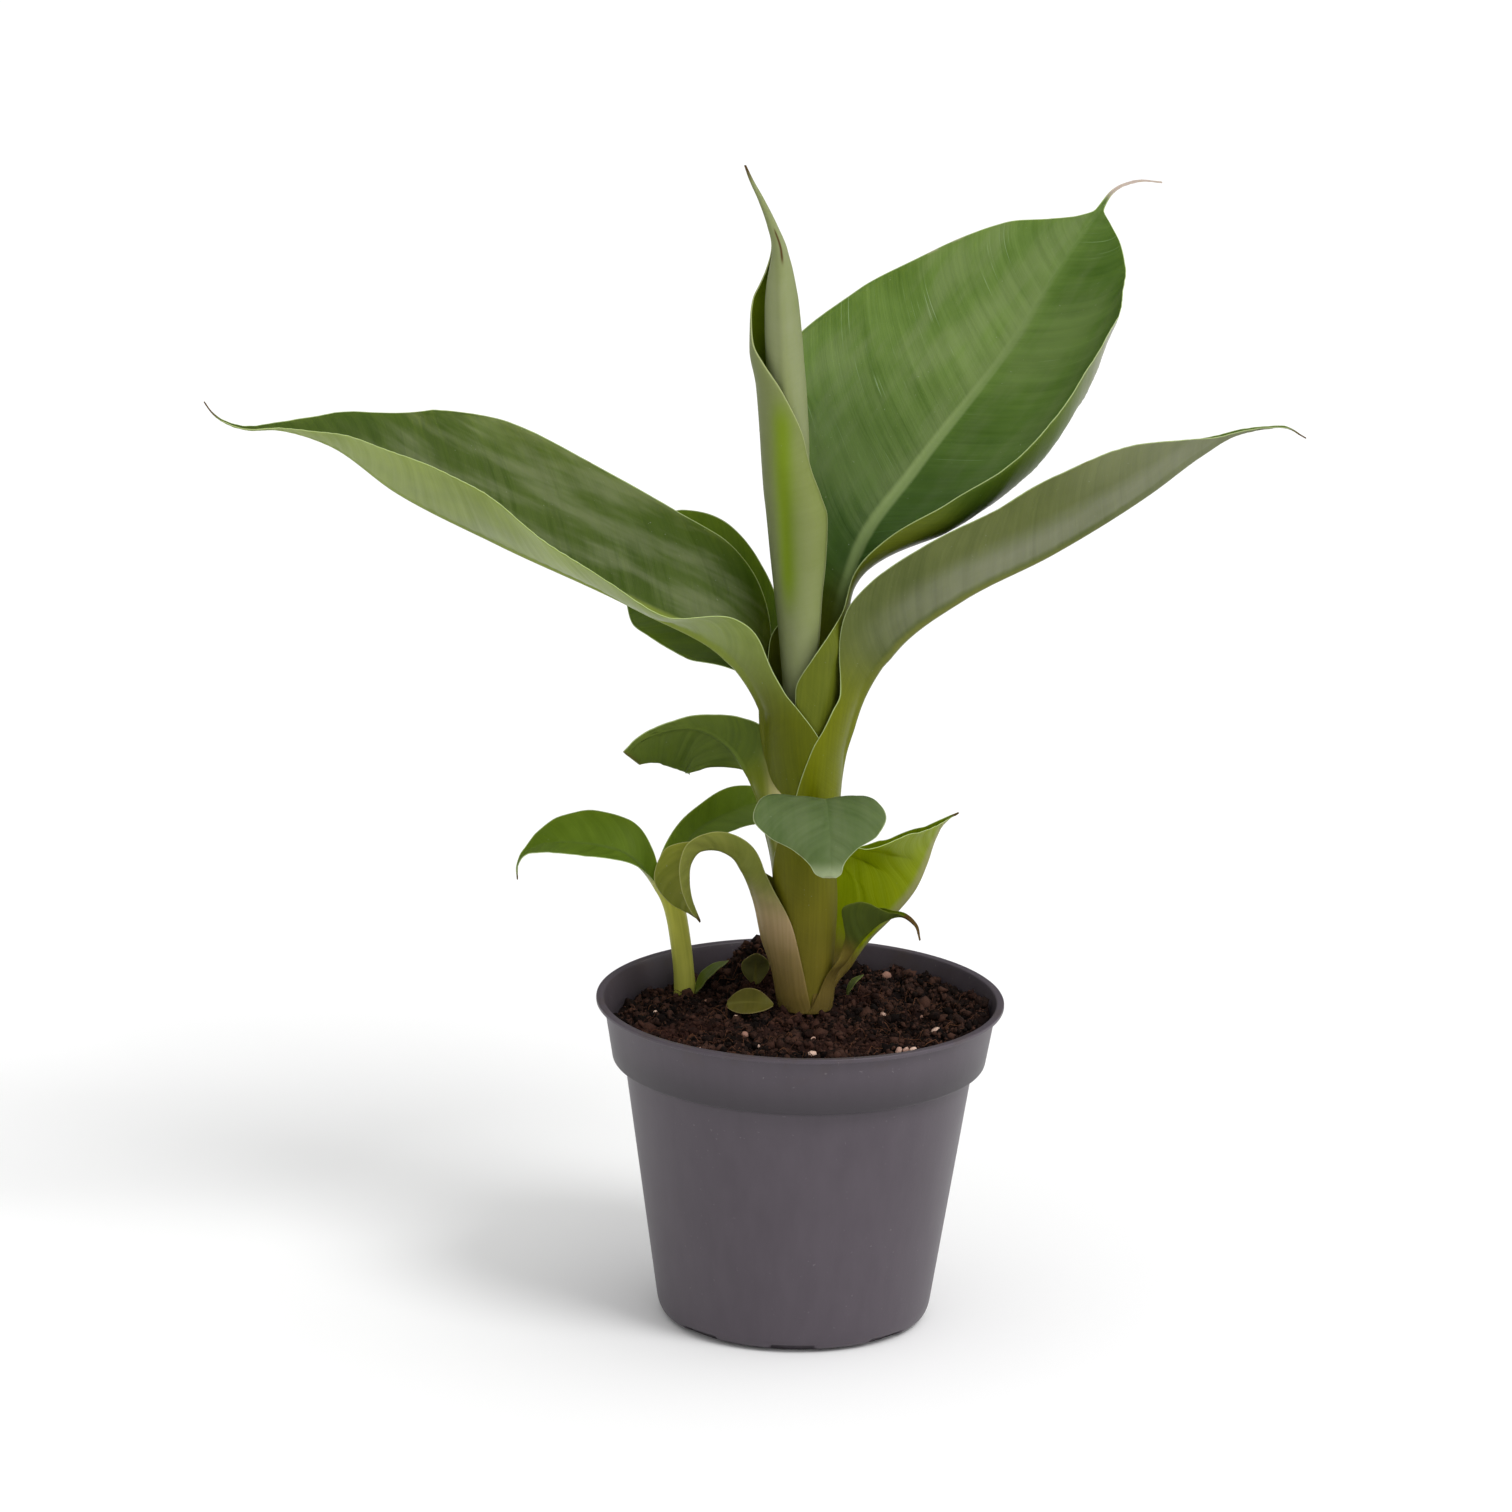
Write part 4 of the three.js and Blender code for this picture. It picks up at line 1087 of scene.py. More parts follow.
class Graph:
    """A short way to write a node tree."""

    def __init__(self, tree: bpy.types.NodeTree) -> None:
        """Keeps the tree to add nodes to."""
        self.tree = tree

    def put(self, target: bpy.types.NodeSocket, source: object) -> None:
        """Links a socket to the target, or sets the target's own value."""
        if isinstance(source, bpy.types.NodeSocket):
            self.tree.links.new(source, target)
        elif isinstance(source, (tuple, list)) and len(source) == 3 and target.type == "RGBA":
            target.default_value = (*source, 1.0)
        else:
            target.default_value = source

    def node(self, kind: str, inputs: Optional[dict] = None, **settings: object) -> bpy.types.Node:
        """Adds a node.

        Args:
            kind: its type name.
            inputs: values or sockets by input name or number.
            settings: its properties.

        Returns:
            The node.
        """
        made = self.tree.nodes.new(kind)
        for key, value in settings.items():
            setattr(made, key, value)
        for key, value in (inputs or {}).items():
            self.put(made.inputs[key], value)
        return made

    def fill(self, node: bpy.types.Node, values: dict[str, Source]) -> None:
        """Puts numbers, colours or sockets into a node's named inputs."""
        for key, value in values.items():
            self.put(node.inputs[key], value)

    def math(self, operation: str, a: Source, b: Source = 0.0, clamp: bool = False) -> bpy.types.NodeSocket:
        """A Math node's result for two numbers or sockets."""
        return self.node("ShaderNodeMath", {0: a, 1: b}, operation=operation, use_clamp=clamp).outputs[0]

    def times(self, first: Source, *others: Source) -> Source:
        """The product of numbers or sockets, from left to right."""
        for other in others:
            first = self.math("MULTIPLY", first, other)
        return first

    def plus(self, first: Source, *others: Source) -> Source:
        """The sum of numbers or sockets, from left to right."""
        for other in others:
            first = self.math("ADD", first, other)
        return first

    def rest(self, value: Source) -> bpy.types.NodeSocket:
        """What value leaves of 1."""
        return self.math("SUBTRACT", 1.0, value)

    def weigh(self, *pairs: tuple[Source, float]) -> Source:
        """The sum of values times their weights."""
        return self.plus(*(self.times(value, weight) for value, weight in pairs))

    def sway(self, noise: Source, amount: float) -> Source:
        """How far a noise lies from one half, times amount."""
        return self.times(self.math("SUBTRACT", noise, 0.5), amount)

    def step(self, low: Source, high: Source, value: Source, out_low: float = 0.0,
             out_high: float = 1.0) -> bpy.types.NodeSocket:
        """A smooth step of value from out_low at low to out_high at high."""
        inputs = {"Value": value, "From Min": low, "From Max": high, "To Min": out_low, "To Max": out_high}
        return self.node("ShaderNodeMapRange", inputs, interpolation_type="SMOOTHSTEP").outputs["Result"]

    def mix(self, share: Source, a: Source, b: Source, blend: str = "MIX") -> bpy.types.NodeSocket:
        """A colour mixed from a to b by share."""
        made = self.node("ShaderNodeMix", None, data_type="RGBA", blend_type=blend, clamp_factor=True)
        for number, value in ((0, share), (6, a), (7, b)):
            self.put(made.inputs[number], value)
        return made.outputs[2]

    def darken(self, share: Source, colour: Source, factor: Colour) -> bpy.types.NodeSocket:
        """A colour mixed by share with itself times factor."""
        return self.mix(share, colour, self.mix(1.0, colour, factor, "MULTIPLY"))

    def noise(self, vector: Source, scale: Source, detail: float = 3.0,
              rough: float = 0.55) -> bpy.types.NodeSocket:
        """A noise value about one half, read at a vector."""
        inputs = {"Vector": vector, "Scale": scale, "Detail": detail, "Roughness": rough}
        return self.node("ShaderNodeTexNoise", inputs).outputs["Fac"]

    def scaled(self, vector: Source, factor: tuple,
               offset: tuple = (0.0, 0.0, 0.0)) -> bpy.types.NodeSocket:
        """A vector multiplied by factor and moved by offset."""
        inputs = {"Vector": vector, "Scale": factor, "Location": offset}
        return self.node("ShaderNodeMapping", inputs).outputs[0]

    def axis(self, vector: Source, number: int) -> bpy.types.NodeSocket:
        """One coordinate of a vector."""
        return self.node("ShaderNodeSeparateXYZ", {0: vector}).outputs[number]

    def mark(self, name: str) -> bpy.types.NodeSocket:
        """A value that the mesh's points carry."""
        return self.node("ShaderNodeAttribute", None, attribute_name=name).outputs["Fac"]

    def place(self) -> bpy.types.NodeSocket:
        """The point in the object's own coordinates, in metres."""
        return self.node("ShaderNodeTexCoord").outputs["Object"]

    def bump(self, height: Source, strength: float, distance: float) -> bpy.types.NodeSocket:
        """The normal of a relief whose height is distance metres at full strength."""
        inputs = {"Height": height, "Strength": strength, "Distance": distance}
        return self.node("ShaderNodeBump", inputs).outputs[0]


def new_group(name: str, inputs: dict[str, object],
              outputs: dict[str, str]) -> tuple[bpy.types.NodeTree, Graph]:
    """Starts a shader node group.

    Args:
        name: its name.
        inputs: default value of each input; a float makes a value socket and a triple a colour.
        outputs: socket type of each output.

    Returns:
        The group and a graph to fill it.
    """
    tree = bpy.data.node_groups.new(name, "ShaderNodeTree")
    for key, value in inputs.items():
        kind = "NodeSocketColor" if isinstance(value, tuple) else "NodeSocketFloat"
        socket = tree.interface.new_socket(key, in_out="INPUT", socket_type=kind)
        socket.default_value = (*value, 1.0) if isinstance(value, tuple) else value
    for key, kind in outputs.items():
        tree.interface.new_socket(key, in_out="OUTPUT", socket_type=kind)
    return tree, Graph(tree)


@dataclass(frozen=True)
class LeafFinish:
    """Colours and measures of one leaf's surface, in linear light.

    Lengths such as rib_width are in millimetres, and dry_from, haze_to and wax_from are shares of the rib's
    length. Glow and gloss go to the shader, and all the rest to the group's inputs.
    """

    upper: Colour = (0.05, 0.115, 0.018)
    upper_light: Colour = (0.1, 0.19, 0.035)
    under: Colour = (0.12, 0.19, 0.035)
    under_light: Colour = (0.25, 0.35, 0.09)
    wax: Colour = (0.42, 0.46, 0.4)
    wax_amount: float = 0.35
    wax_reach: float = 60.0
    wax_from: float = -1.0
    rib: Colour = (0.3, 0.4, 0.12)
    rib_width: float = 1.1
    margin: Colour = (0.45, 0.55, 0.25)
    sheath: Colour = (0.17, 0.2, 0.015)
    sheath_foot: Colour = (0.17, 0.13, 0.035)
    tint: Colour = (0.2, 0.33, 0.01)
    streaks: float = 0.55
    dry_from: float = 0.965
    rough: float = 0.42
    glow: float = 0.12
    # How far the colour darkens towards the foot: partly a darker green there, partly painted shade
    deep: float = 0.0
    gloss: Colour = (0.9, 1.0, 0.45)
    wax_gap: float = 0.0
    wax_tip: float = 0.85
    # Painted sheen: how much of the upper face gets pale patches that stand for glossy highlights, and the
    # share of the length where they end
    haze: float = 0.0
    haze_to: float = 2.0
    stalk: Optional[Colour] = None
    stalk_width: float = 3.5
    scratches: float = 0.0
    pale_tip: float = 0.0
    right_dark: float = 0.0
    dry: Colour = (0.07, 0.035, 0.012)

    def inputs(self) -> dict[str, object]:
        """The group's inputs by name; the stalk is as the sheath where it has no colour of its own."""
        given = {row.name.replace("_", " ").title(): getattr(self, row.name) for row in fields(self)
                 if row.name not in ("glow", "gloss")}
        return {**given, "Stalk": self.stalk or self.sheath}


def speckle_group() -> bpy.types.NodeTree:
    """Dust and pale flecks: where a fine noise passes a threshold, thinned by a coarse one."""
    tree, g = new_group("speckle", {"Size": 1.0, "Amount": 0.5}, {"Mask": "NodeSocketFloat"})
    start = g.node("NodeGroupInput").outputs
    scale = g.math("DIVIDE", 1000.0, start["Size"])
    fine = g.noise(g.place(), scale, 2.0, 0.5)
    patch = g.noise(g.place(), g.times(scale, 0.06), 3.0, 0.6)
    low = g.math("SUBTRACT", 0.78, g.times(start["Amount"], 0.18))
    mask = g.times(g.step(low, g.plus(low, 0.06), fine), g.step(0.4, 0.65, patch))
    g.put(g.node("NodeGroupOutput").inputs["Mask"], mask)
    return tree


class LeafSurface:
    """The node group shared by all leaves: veins, mottle, wax, rib, pale margin, sheath and dry tip.

    A noise is drawn out along the side veins where its first factor is the larger, and along the leaf where
    the second is.
    """

    haze: Colour = (0.22, 0.235, 0.145)
    scratch: Colour = (0.32, 0.42, 0.24)
    right_shade: Colour = (0.5, 0.62, 0.35)
    deep_shade: Colour = (0.34, 0.46, 0.36)
    sheath_shade: Colour = (0.45, 0.5, 0.4)
    tip: Colour = (0.4, 0.45, 0.28)
    weave: tuple[float, float, float, float] = (0.4, 0.6, 0.6, 1.25)
    contrast: float = 3.2
    soil_line: tuple[float, float] = (0.092, 0.15)
    buried_line: tuple[float, float] = (0.14, 0.118)

    def __init__(self) -> None:
        """Starts the group and reads what more than one of its parts needs."""
        self.tree, self.g = new_group("leaf surface", LeafFinish().inputs(), {
            "Colour": "NodeSocketColor", "Rough": "NodeSocketFloat", "Height": "NodeSocketFloat"})
        g = self.g
        self.given = g.node("NodeGroupInput").outputs
        self.veins = g.node("ShaderNodeUVMap", None, uv_map="veins").outputs[0]
        self.place = g.place()
        self.height = g.axis(self.place, 2)
        self.under, self.sheath, self.rib, self.edge, self.along, self.tint = (
            g.mark(name) for name in ("under", "sheath", "rib", "edge", "along", "tint"))
        self.fine = self.drawn(95.0, 3.5)
        self.broad = self.drawn(26.0, 2.2, (3.0, 5.0), 2.0)
        self.mottle = g.noise(self.place, 70.0, 4.0)
        self.cloud = g.noise(self.place, 24.0, 3.0)

    def drawn(self, along: float, across: float, offset: tuple[float, float] = (0.0, 0.0),
              detail: float = 3.0, rough: float = 0.55) -> bpy.types.NodeSocket:
        """A noise on the vein coordinates, scaled along the leaf and away from the rib."""
        vector = self.g.scaled(self.veins, (along, across, 1.0), (*offset, 0.0))
        return self.g.noise(vector, 1.0, detail, rough)

    def upper_face(self, tone: Source) -> bpy.types.NodeSocket:
        """The upper face: two greens by tone, pale patches of painted sheen, fine scratches and a darker
        right half.

        Args:
            tone: how light the green is.

        Returns:
            Its colour.
        """
        g, given = self.g, self.given
        colour = g.mix(tone, given["Upper"], given["Upper Light"])
        # Painted sheen: pale patches on the upper face stand for glossy highlights, up to a share of the
        # length
        patch = g.weigh((self.cloud, 0.4), (self.drawn(3.0, 17.0, (7.0, 2.0)), 0.6))
        before = g.step(given["Haze To"], g.math("SUBTRACT", given["Haze To"], 0.15), self.along)
        colour = g.mix(g.times(g.step(0.42, 0.62, patch), given["Haze"], before), colour, self.haze)
        lines = g.step(0.62, 0.7, self.drawn(120.0, 1.6, (2.0, 9.0), 2.0))
        held = g.step(0.5, 0.62, self.drawn(9.0, 5.0, (4.0, 1.0)))
        colour = g.mix(g.times(lines, held, given["Scratches"]), colour, self.scratch)
        right = g.times(g.step(-0.02, 0.06, g.axis(self.veins, 1)), given["Right Dark"])
        return g.darken(right, colour, self.right_shade)

    def lower_face(self, tone: Source) -> tuple[bpy.types.NodeSocket, bpy.types.NodeSocket]:
        """The lower face: two greens by tone under a wax bloom, in part a painted highlight along the rib.

        The bloom lies from Wax Gap to Wax Reach from the rib, past Wax From along it, and over the whole
        width towards the tip by Wax Tip.

        Args:
            tone: how light the green is.

        Returns:
            Its colour and the bloom's share.
        """
        g, given, cloud = self.g, self.given, self.cloud
        patch = self.drawn(9.0, 26.0, detail=4.0, rough=0.6)
        bloom = g.plus(g.times(g.step(0.3, 0.72, g.weigh((patch, 0.35), (cloud, 0.65))), 0.45), 0.55)
        reach, gap, start = given["Wax Reach"], given["Wax Gap"], given["Wax From"]
        # Where this band is narrow along the rib, it is partly wax bloom and partly a painted highlight where
        # the lower face curves round the rib
        near = g.rest(g.step(g.times(reach, 0.45), reach, g.plus(self.rib, g.times(cloud, 3.0))))
        near = g.times(near, g.step(g.times(gap, 0.3), g.plus(gap, 0.001), self.rib))
        whole = g.times(g.step(0.55, 0.9, self.along), given["Wax Tip"])
        held = g.times(g.math("MAXIMUM", near, whole), g.step(start, g.plus(start, 0.2), self.along))
        bloom = g.times(bloom, held, given["Wax Amount"])
        return g.mix(bloom, g.mix(tone, given["Under"], given["Under Light"]), given["Wax"]), bloom

    def cover(self) -> bpy.types.NodeSocket:
        """The sheath: its own colour away from the rib, the stalk's near it, and an earthy foot, streaked."""
        g, given = self.g, self.given
        width = given["Stalk Width"]
        beside = g.step(g.times(width, 0.6), g.times(width, 1.4), self.rib)
        colour = g.mix(beside, given["Stalk"], given["Sheath"])
        foot = g.step(*self.soil_line, g.plus(self.height, g.sway(self.cloud, 0.03)))
        colour = g.mix(foot, given["Sheath Foot"], colour)
        shade = g.step(0.3, 0.7, g.weigh((self.drawn(4.0, 120.0), 0.6), (self.mottle, 0.4)))
        return g.darken(g.times(g.rest(shade), 0.45), colour, self.sheath_shade)

    def lines(self, colour: Source) -> bpy.types.NodeSocket:
        """The rib, narrowing and fading towards the tip, the pale margin above the soil, and a pale tip.

        Args:
            colour: what they lie on.

        Returns:
            The colour with them.
        """
        g, given = self.g, self.given
        width = g.times(given["Rib Width"], g.math("SUBTRACT", 1.2, self.along))
        rib = g.rest(g.step(g.times(width, 0.55), g.times(width, 1.5), self.rib))
        rib = g.times(rib, g.rest(self.sheath), g.step(0.75, 0.42, self.along, 0.15, 1.0))
        colour = g.mix(g.times(rib, 0.75), colour, given["Rib"])
        rim = g.rest(g.step(0.12, 0.5, g.plus(self.edge, g.times(self.mottle, 0.25))))
        buried = g.times(self.sheath, g.step(*self.buried_line, self.height))
        colour = g.mix(g.times(rim, g.rest(buried), 0.8), colour, given["Margin"])
        return g.mix(g.times(g.step(0.93, 1.0, self.along), given["Pale Tip"]), colour, self.tip)

    def dry(self) -> bpy.types.NodeSocket:
        """How dry the leaf is: the tip past Dry From, specks on the margin, and slits in the mesh's tint."""
        g = self.g
        start = self.given["Dry From"]
        specks = g.step(0.64, 0.7, g.noise(self.place, 120.0, 2.0))
        specks = g.times(specks, g.rest(g.step(0.2, 0.9, self.edge)))
        tip = g.step(start, g.plus(start, 0.03), g.plus(self.along, g.sway(self.mottle, 0.05)))
        slit = g.step(0.0, 1.0, g.times(self.tint, -1.0))
        return g.math("MAXIMUM", g.math("MAXIMUM", tip, g.times(specks, 0.3)), slit)

    def build(self) -> bpy.types.NodeTree:
        """Puts the parts together.

        Returns:
            The group, with the leaf's colour, roughness and relief.
        """
        g, given = self.g, self.given
        weave = g.weigh(*zip((self.fine, self.broad, self.mottle, self.cloud), self.weave))
        middle = sum(self.weave) / 2
        spread = g.times(g.math("SUBTRACT", weave, middle), g.times(given["Streaks"], self.contrast))
        tone = g.math("ADD", spread, 0.5, clamp=True)
        lower, bloom = self.lower_face(tone)
        colour = g.mix(self.under, self.upper_face(tone), lower)
        # Towards the foot the colour darkens by Deep: partly a darker green there and partly painted shade of
        # the self-shaded base
        colour = g.darken(g.times(given["Deep"], g.step(0.6, 0.28, self.along)), colour, self.deep_shade)
        colour = g.mix(g.step(0.0, 1.0, self.tint), colour, given["Tint"])
        colour = self.lines(g.mix(self.sheath, colour, self.cover()))
        dry = self.dry()
        rough = g.plus(given["Rough"], g.sway(self.mottle, 0.3), g.times(bloom, 0.2), g.times(dry, 0.25))
        g.fill(g.node("NodeGroupOutput"), {
            "Colour": g.mix(dry, colour, given["Dry"]), "Rough": rough,
            "Height": g.weigh((self.fine, 0.6), (self.broad, 0.35))})
        return self.tree


@dataclass(frozen=True)
class PeatFinish:
    """Colours of peat or of what lies in it, in linear light, and its roughness."""

    dark: Colour
    light: Colour
    warm: Colour = (0.034, 0.011, 0.007)
    rough: float = 0.85


@dataclass(frozen=True)
class PlasticFinish:
    """Colours of the pot in linear light, and where its inner face and its band of dust lie, in metres."""

    dark: Colour = (0.062, 0.049, 0.062)
    light: Colour = (0.074, 0.06, 0.074)
    dust: Colour = (0.3, 0.27, 0.28)
    smear: Colour = (0.06, 0.04, 0.03)
    shadow: Colour = (0.01, 0.0085, 0.01)
    rough: float = 0.44
    inner: tuple[float, float] = (0.0545, 0.0575)
    collar: tuple[float, float] = (0.0765, 0.0785)
    high: tuple[float, float] = (0.086, 0.0965)


class Palette:
    """All materials of the plant, made from two shared node groups."""

    dust: Colour = (0.5, 0.52, 0.45)

    def __init__(self) -> None:
        """Builds the shared groups."""
        self.leaf_tree = LeafSurface().build()
        self.speckle_tree = speckle_group()

    def start(self, name: str) -> tuple[bpy.types.Material, Graph, bpy.types.Node]:
        """A new material, its graph and its Principled shader."""
        made = bpy.data.materials.new(name)
        made.use_nodes = True
        return made, Graph(made.node_tree), made.node_tree.nodes["Principled BSDF"]

    def speckle(self, graph: Graph, size: float, amount: float) -> bpy.types.NodeSocket:
        """The speckle mask placed in a material."""
        group = graph.node("ShaderNodeGroup", None, node_tree=self.speckle_tree)
        graph.fill(group, {"Size": size, "Amount": amount})
        return group.outputs["Mask"]

    def leaf(self, name: str, finish: LeafFinish) -> bpy.types.Material:
        """A leaf's material.

        Args:
            name: the material's name.
            finish: its colours and measures.

        Returns:
            The material: the shared leaf surface with its own values, dusted, under a satin skin that lets
            a little light through.
        """
        made, g, shader = self.start(name)
        group = g.node("ShaderNodeGroup", None, node_tree=self.leaf_tree)
        g.fill(group, finish.inputs())
        surface = group.outputs
        colour = g.mix(g.times(self.speckle(g, 0.9, 0.35), 0.22), surface["Colour"], self.dust)
        g.fill(shader, {
            "Base Color": colour, "Roughness": surface["Rough"],
            "Normal": g.bump(surface["Height"], 0.35, 0.0004), "Subsurface Weight": finish.glow,
            "Subsurface Radius": (0.9, 1.0, 0.25), "Subsurface Scale": 0.0012, "Specular IOR Level": 0.2,
            "Specular Tint": finish.gloss})
        return made

    def plastic(self, finish: PlasticFinish) -> bpy.types.Material:
        """The pot's plastic.

        Args:
            finish: its colours.

        Returns:
            A material with faint flow streaks, fine grain, dust and peat smears near the rim, and a shaded
            inner wall.
        """
        made, g, shader = self.start("pot plastic")
        place = g.place()
        x, y, z = (g.axis(place, number) for number in range(3))
        wrap = g.node("ShaderNodeCombineXYZ", {0: g.math("ARCTAN2", y, x), 1: g.times(z, 7.0)}).outputs[0]
        streak = g.noise(wrap, 9.0, 3.0)
        cloud = g.noise(place, 26.0, 4.0)
        grain = g.noise(place, 1500.0, 2.0)
        tone = g.step(0.3, 0.7, g.weigh((streak, 0.45), (cloud, 0.55)))
        colour = g.mix(tone, finish.dark, finish.light)
        flat = g.node("ShaderNodeVectorMath", {0: g.scaled(place, (1.0, 1.0, 0.0))}, operation="LENGTH")
        inner = g.step(*finish.inner, flat.outputs["Value"])
        high = g.step(*finish.high, g.plus(z, g.sway(cloud, 0.02)))
        dust = g.times(self.speckle(g, 1.1, 0.5), g.plus(g.times(high, 0.45), 0.18))
        colour = g.mix(dust, colour, finish.dust)
        smear = g.times(g.step(0.52, 0.66, g.noise(place, 95.0, 4.0)), g.times(high, 0.3), inner)
        colour = g.mix(smear, colour, finish.smear)
        within = g.times(g.rest(inner), g.step(*finish.collar, z), 0.62)
        g.fill(shader, {
            "Base Color": g.mix(within, colour, finish.shadow),
            "Roughness": g.plus(finish.rough, g.sway(cloud, 0.2), g.times(dust, 0.3)),
            "Normal": g.bump(g.weigh((grain, 0.6), (streak, 0.4)), 0.12, 0.0003), "Specular IOR Level": 0.4})
        return made

    def peat(self, name: str, finish: PeatFinish) -> bpy.types.Material:
        """Peat and what lies in it.

        Args:
            name: the material's name.
            finish: its colours.

        Returns:
            A material mixed by each crumb's own tone and by noise, with a coarse relief.
        """
        made, g, shader = self.start(name)
        place = g.place()
        fine = g.noise(place, 900.0, 4.0, 0.65)
        patch = g.noise(place, 38.0, 3.0)
        mixed = g.weigh((g.mark("tone"), 0.6), (fine, 0.7))
        colour = g.mix(g.step(0.45, 1.0, mixed), finish.dark, finish.light)
        g.fill(shader, {
            "Base Color": g.mix(g.times(g.step(0.5, 0.68, patch), 0.6), colour, finish.warm),
            "Roughness": g.plus(finish.rough - 0.1, g.times(fine, 0.2)),
            "Normal": g.bump(fine, 0.5, 0.0006), "Specular IOR Level": 0.12})
        return made


# The plant


def dress(piece: bpy.types.Object, material: bpy.types.Material, slot: Slot, *nodes: str) -> bpy.types.Object:
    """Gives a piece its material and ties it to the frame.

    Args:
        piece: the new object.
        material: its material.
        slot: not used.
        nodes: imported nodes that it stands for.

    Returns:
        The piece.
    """
    piece.data.materials.append(material)
    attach(piece, BODY)
    if nodes:
        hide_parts(*nodes)
    LOG.info("%s: %d faces", piece.name, len(piece.data.polygons))
    return piece


@dataclass
class MainShoot:
    """The main pseudostem with its spear and nine leaves."""

    stem: Stem = field(default_factory=lambda: Stem(*MAIN_FOOT, (
        (88, -0.1, 7.8), (90.3, -0.1, 8.0), (96, -0.3, 8.8), (105, -0.4, 9.2), (123, -0.5, 9.5),
        (136, -1, 10.0), (154, -1.5, 10.6), (164, -1.9, 11.3), (172, -2.1, 11.9), (200, -2.4, 12.2)),
        (101.0, 122.0, 112.0, 150.0, 158.0, 176.0, 176.0, 190.0)))

    def build(self, palette: Palette) -> None:
        """Makes the stem's core, the spear and every leaf.

        Args:
            palette: the shared materials.
        """
        core = self.stem.core(88.0, 168.0).mesh("stem_core")
        dress(core, palette.leaf("stem core", LeafFinish()), Slot.SHEATH, "pseudostem")
        spear = Spear().grow().mesh("spear_roll")
        dress(spear, palette.leaf("spear", SPEAR_FINISH), Slot.LEAF, "spear_leaf")
        for leaf, finish in main_leaves():
            made = leaf.grow(self.stem, MAIN_FOOT).mesh(leaf.name)
            dress(made, palette.leaf(leaf.name.replace("_", " "), finish), leaf.slot, *leaf.nodes)


SPEAR_FINISH = LeafFinish(
    upper=(0.12, 0.18, 0.005), upper_light=(0.18, 0.25, 0.009), under=(0.14, 0.175, 0.03),
    under_light=(0.2, 0.235, 0.075), wax=(0.3, 0.32, 0.21), wax_amount=0.55, rib=(0.12, 0.145, 0.012),
    rib_width=3.2, tint=(0.16, 0.24, 0.004), margin=(0.38, 0.42, 0.2), dry_from=0.975, streaks=0.3,
    rough=0.5)


